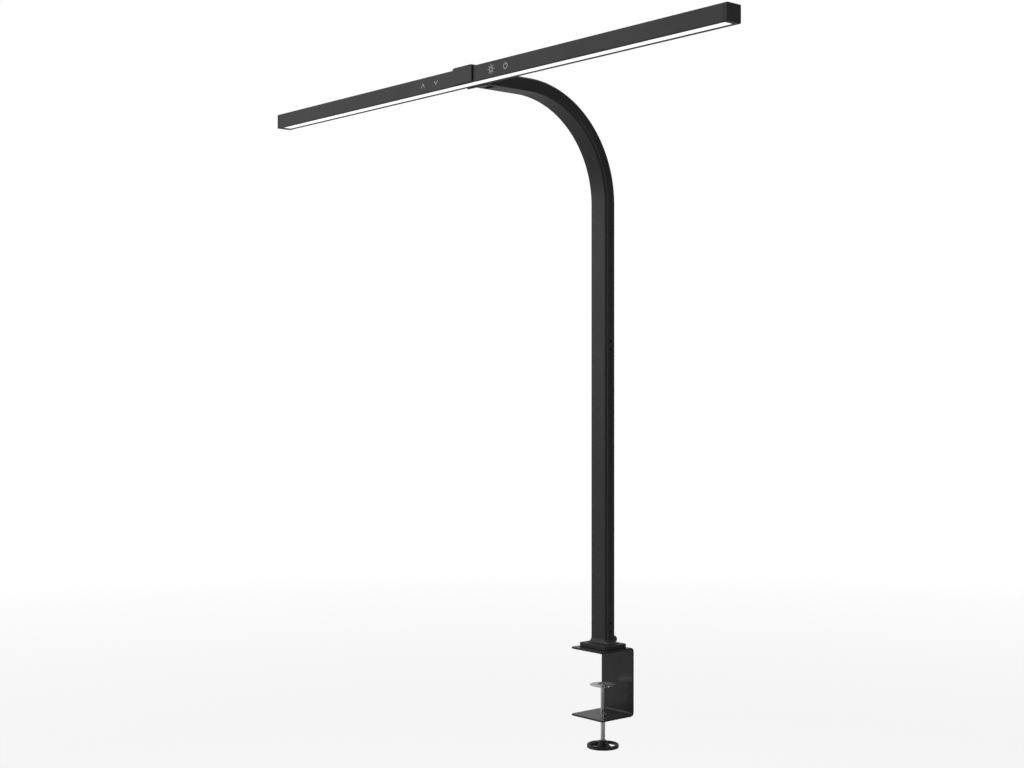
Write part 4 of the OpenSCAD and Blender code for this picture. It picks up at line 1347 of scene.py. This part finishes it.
# a flat strip with fine lengthwise ribs under the opening
def makeDiffuser():
    low, high = diffuserLow.z, diffuserHigh.z
    half = bar["opening"] / 2 - diffuser["ribStart"]
    under = []
    for number in range(diffuser["ribs"]):
        start = barMiddle - half + 2 * half * number / diffuser["ribs"]
        pitch = 2 * half / diffuser["ribs"]
        for share, depth in ((0.0, 1.0), (0.25, 0.3), (0.5, 0.0), (0.75, 0.3)):
            under.append((start + pitch * share, low + diffuser["ribDepth"] * depth))
    outline = [(diffuserLow.y, low + 0.02 * mm)] + under + [
        (barMiddle + half, low + diffuser["ribDepth"]), (diffuserHigh.y, low + 0.02 * mm),
        (diffuserHigh.y, high), (diffuserLow.y, high)]
    strip = barPiece("barDiffuser", outline, diffuserLow.x, diffuserHigh.x)
    finishPiece(strip, "head", ["diffuser"], "diffuser_white", sharp=50)


makeDiffuser()

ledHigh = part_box("leds")[1]
diode = {"count": 36, "length": 3.5 * mm, "width": 2.8 * mm, "height": 0.8 * mm, "window": 0.45 * mm,
         "sink": 0.15 * mm}


# one chip: a pale package with a sunk phosphor window, facing down
def makeChip():
    mesh = bmesh.new()
    length, width = diode["length"] / 2, diode["width"] / 2
    rim = diode["window"]
    rings = [
        (length, width, 0.0), (length, width, -diode["height"] + 0.1 * mm),
        (length - 0.1 * mm, width - 0.1 * mm, -diode["height"]),
        (length - rim, width - rim, -diode["height"]),
        (length - rim - 0.1 * mm, width - rim - 0.1 * mm, -diode["height"] + diode["sink"])]
    rows = [[mesh.verts.new((sx * l, sy * w, z)) for sx, sy in ((1, 1), (-1, 1), (-1, -1), (1, -1))]
            for l, w, z in rings]
    for upper, lower in zip(rows, rows[1:]):
        for index in range(4):
            after = (index + 1) % 4
            mesh.faces.new((upper[index], upper[after], lower[after], lower[index]))
    mesh.faces.new(rows[0])
    window = mesh.faces.new(rows[-1])
    window.material_index = 1
    bmesh.ops.recalc_face_normals(mesh, faces=mesh.faces)
    chip = pieceFromMesh("ledChip", mesh)
    for finish in (ledPackage, finishes["led_yellow"]):
        chip.data.materials.append(finish)
    chip.hide_render = True
    return chip


# repeats chips on both sides of the middle; the chip keeps its own two finishes
def makeChipRows():
    tree, given, result = newTree("chipRows", {
        "Chip": "Object", "Count": "Int", "First": "Vector", "Step": "Vector"})
    source = addNode(tree, "GeometryNodeObjectInfo", {"Object": given.outputs["Chip"]})
    both = addNode(tree, "GeometryNodeJoinGeometry")
    for mirrored in (False, True):
        start, step = given.outputs["First"], given.outputs["Step"]
        if mirrored:
            start, step = (addNode(tree, "ShaderNodeVectorMath", {0: ahead, 1: (-1, 1, 1)},
                                   operation="MULTIPLY").outputs[0] for ahead in (start, step))
        line = addNode(tree, "GeometryNodeMeshLine", {"Count": given.outputs["Count"],
                                                      "Start Location": start,
                                                      "Offset": step})
        row = addNode(tree, "GeometryNodeInstanceOnPoints", {"Points": line.outputs[0],
                                                             "Instance": source.outputs["Geometry"]})
        tree.links.new(row.outputs[0], both.inputs[0])
    whole = addNode(tree, "GeometryNodeRealizeInstances", {0: both.outputs[0]})
    tree.links.new(whole.outputs[0], result.inputs[0])
    return tree


def makeLeds():
    boardLow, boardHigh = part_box("led_board_right")
    pitch = (boardHigh.x - boardLow.x) / diode["count"]
    chip = makeChip()
    chips = treePiece("ledChips", makeChipRows(), {
        "Chip": chip, "Count": diode["count"], "First": (boardLow.x + pitch / 2, barMiddle, ledHigh.z),
        "Step": (pitch, 0, 0)})
    bpy.data.objects.remove(chip)
    finishPiece(chips, "head", ["leds"], "led_yellow", material=False, sharp=20)


makeLeds()
print("light bar")

# touch marks

touchMarks = {
    "proud": 0.04 * mm,
    "line": 0.75 * mm,
    "caretWidth": 6.0 * mm,
    "caretHeight": 4.0 * mm,
    "upAt": -76 * mm,
    "downAt": -51 * mm,
    "sunAt": 50 * mm,
    "sunRing": 2.3 * mm,
    "sunRays": 8,
    "rayFrom": 3.5 * mm,
    "rayTo": 5.5 * mm,
    "powerAt": 75 * mm,
    "powerRing": 3.2 * mm,
}


# a thin stroke with round ends along a line of points, laid on the bar's front face
def strokeMesh(mesh, points, width, closed=False):
    front = housingLow.y
    depth = (front + 0.1 * mm, front - touchMarks["proud"])
    count = len(points)
    half = width / 2
    left, right = [], []
    for index, point in enumerate(points):
        before = points[index - 1] if closed or index > 0 else point
        after = points[(index + 1) % count] if closed or index < count - 1 else point
        first = (point - before).normalized() if (point - before).length > 0 else (after - point).normalized()
        second = (after - point).normalized() if (after - point).length > 0 else first
        bisector = (first + second).normalized()
        side = Vector((-bisector.y, bisector.x))
        reach = half / max(0.5, side.dot(Vector((-second.y, second.x))))
        left.append(point + side * reach)
        right.append(point - side * reach)
    if closed:
        rows = [[mesh.verts.new((p.x, y, p.y)) for p in edge] for edge in (left, right) for y in depth]
        for first, second in ((0, 1), (1, 3), (3, 2), (2, 0)):
            for index in range(count):
                after = (index + 1) % count
                mesh.faces.new((rows[first][index], rows[first][after],
                                rows[second][after], rows[second][index]))
        return
    endCurve, startCurve = [], []
    for step in range(1, 6):
        angle = math.pi * step / 6
        for curve, anchor, edge in ((endCurve, points[-1], left[-1]), (startCurve, points[0], right[0])):
            spoke = edge - anchor
            curve.append(anchor + Vector((spoke.x * math.cos(angle) + spoke.y * math.sin(angle),
                                          -spoke.x * math.sin(angle) + spoke.y * math.cos(angle))))
    loop = left + endCurve + list(reversed(right)) + startCurve
    rows = [[mesh.verts.new((p.x, y, p.y)) for p in loop] for y in depth]
    for index in range(len(loop)):
        after = (index + 1) % len(loop)
        mesh.faces.new((rows[0][index], rows[0][after], rows[1][after], rows[1][index]))
    mesh.faces.new(rows[0])
    mesh.faces.new(rows[1])


def circlePoints(centre, radius, fromAngle, toAngle, steps, closed=False):
    total = steps if closed else steps + 1
    return [centre + Vector((radius * math.cos(math.radians(fromAngle + (toAngle - fromAngle) * i / steps)),
                             radius * math.sin(math.radians(fromAngle + (toAngle - fromAngle) * i / steps))))
            for i in range(total)]


# rays set round a point on the front face
def makeRayRing():
    tree, given, result = newTree("rayRing", {"Ray": "Object", "Count": "Int", "Centre": "Vector",
                                              "Material": "Material"})
    start = addNode(tree, "GeometryNodePoints", {"Count": given.outputs["Count"],
                                                 "Position": given.outputs["Centre"]})
    order = addNode(tree, "GeometryNodeInputIndex")
    share = maths(tree, "DIVIDE", order.outputs[0], given.outputs["Count"])
    turn = maths(tree, "MULTIPLY", share, 2 * math.pi)
    angles = addNode(tree, "ShaderNodeCombineXYZ", {1: turn})
    spin = addNode(tree, "FunctionNodeEulerToRotation", {0: angles.outputs[0]})
    source = addNode(tree, "GeometryNodeObjectInfo", {"Object": given.outputs["Ray"]})
    rays = addNode(tree, "GeometryNodeInstanceOnPoints", {"Points": start.outputs[0],
                                                          "Instance": source.outputs["Geometry"],
                                                          "Rotation": spin.outputs[0]})
    closeTree(tree, given, result, rays.outputs[0])
    return tree


def makeMark(name, draw, extra=None):
    mesh = bmesh.new()
    draw(mesh)
    bmesh.ops.recalc_face_normals(mesh, faces=mesh.faces)
    mark = pieceFromMesh(name, mesh)
    if extra:
        mark = joinPieces(name + ".whole", [mark, extra])
        mark.name = name
    finishPiece(mark, "head", [], "diffuser_white", material=markWhite, sharp=30)


def makeTouchMarks():
    middle = (housingLow.z + housingHigh.z) / 2
    line = touchMarks["line"]
    half, rise = touchMarks["caretWidth"] / 2, touchMarks["caretHeight"] / 2
    for name, at, way in (("markUp", touchMarks["upAt"], 1), ("markDown", touchMarks["downAt"], -1)):
        points = [Vector((at - half, middle - way * rise)), Vector((at, middle + way * rise)),
                  Vector((at + half, middle - way * rise))]
        makeMark(name, lambda mesh, points=points: strokeMesh(mesh, points, line))
    sun = Vector((touchMarks["sunAt"], middle))
    rayMesh = bmesh.new()
    strokeMesh(rayMesh, [Vector((touchMarks["rayFrom"], 0)), Vector((touchMarks["rayTo"], 0))], line)
    bmesh.ops.recalc_face_normals(rayMesh, faces=rayMesh.faces)
    ray = movePiece(pieceFromMesh("sunRay", rayMesh), None, (0, -housingLow.y, 0))
    ray.hide_render = True
    rays = treePiece("sunRays", makeRayRing(), {
        "Ray": ray, "Count": touchMarks["sunRays"], "Centre": (sun.x, housingLow.y, sun.y),
        "Material": markWhite})
    bpy.data.objects.remove(ray)
    makeMark("markSun", lambda mesh: strokeMesh(
        mesh, circlePoints(sun, touchMarks["sunRing"], 0, 360, 32, True), line, True), rays)
    power = Vector((touchMarks["powerAt"], middle))

    def drawPower(mesh):
        strokeMesh(mesh, circlePoints(power, touchMarks["powerRing"], 122, 418, 36), line)
        strokeMesh(mesh, [power + Vector((0, 1.2 * mm)), power + Vector((0, 4.0 * mm))], line)

    makeMark("markPower", drawPower)


makeTouchMarks()
print("touch marks")

# end of the build

print("all pieces built")
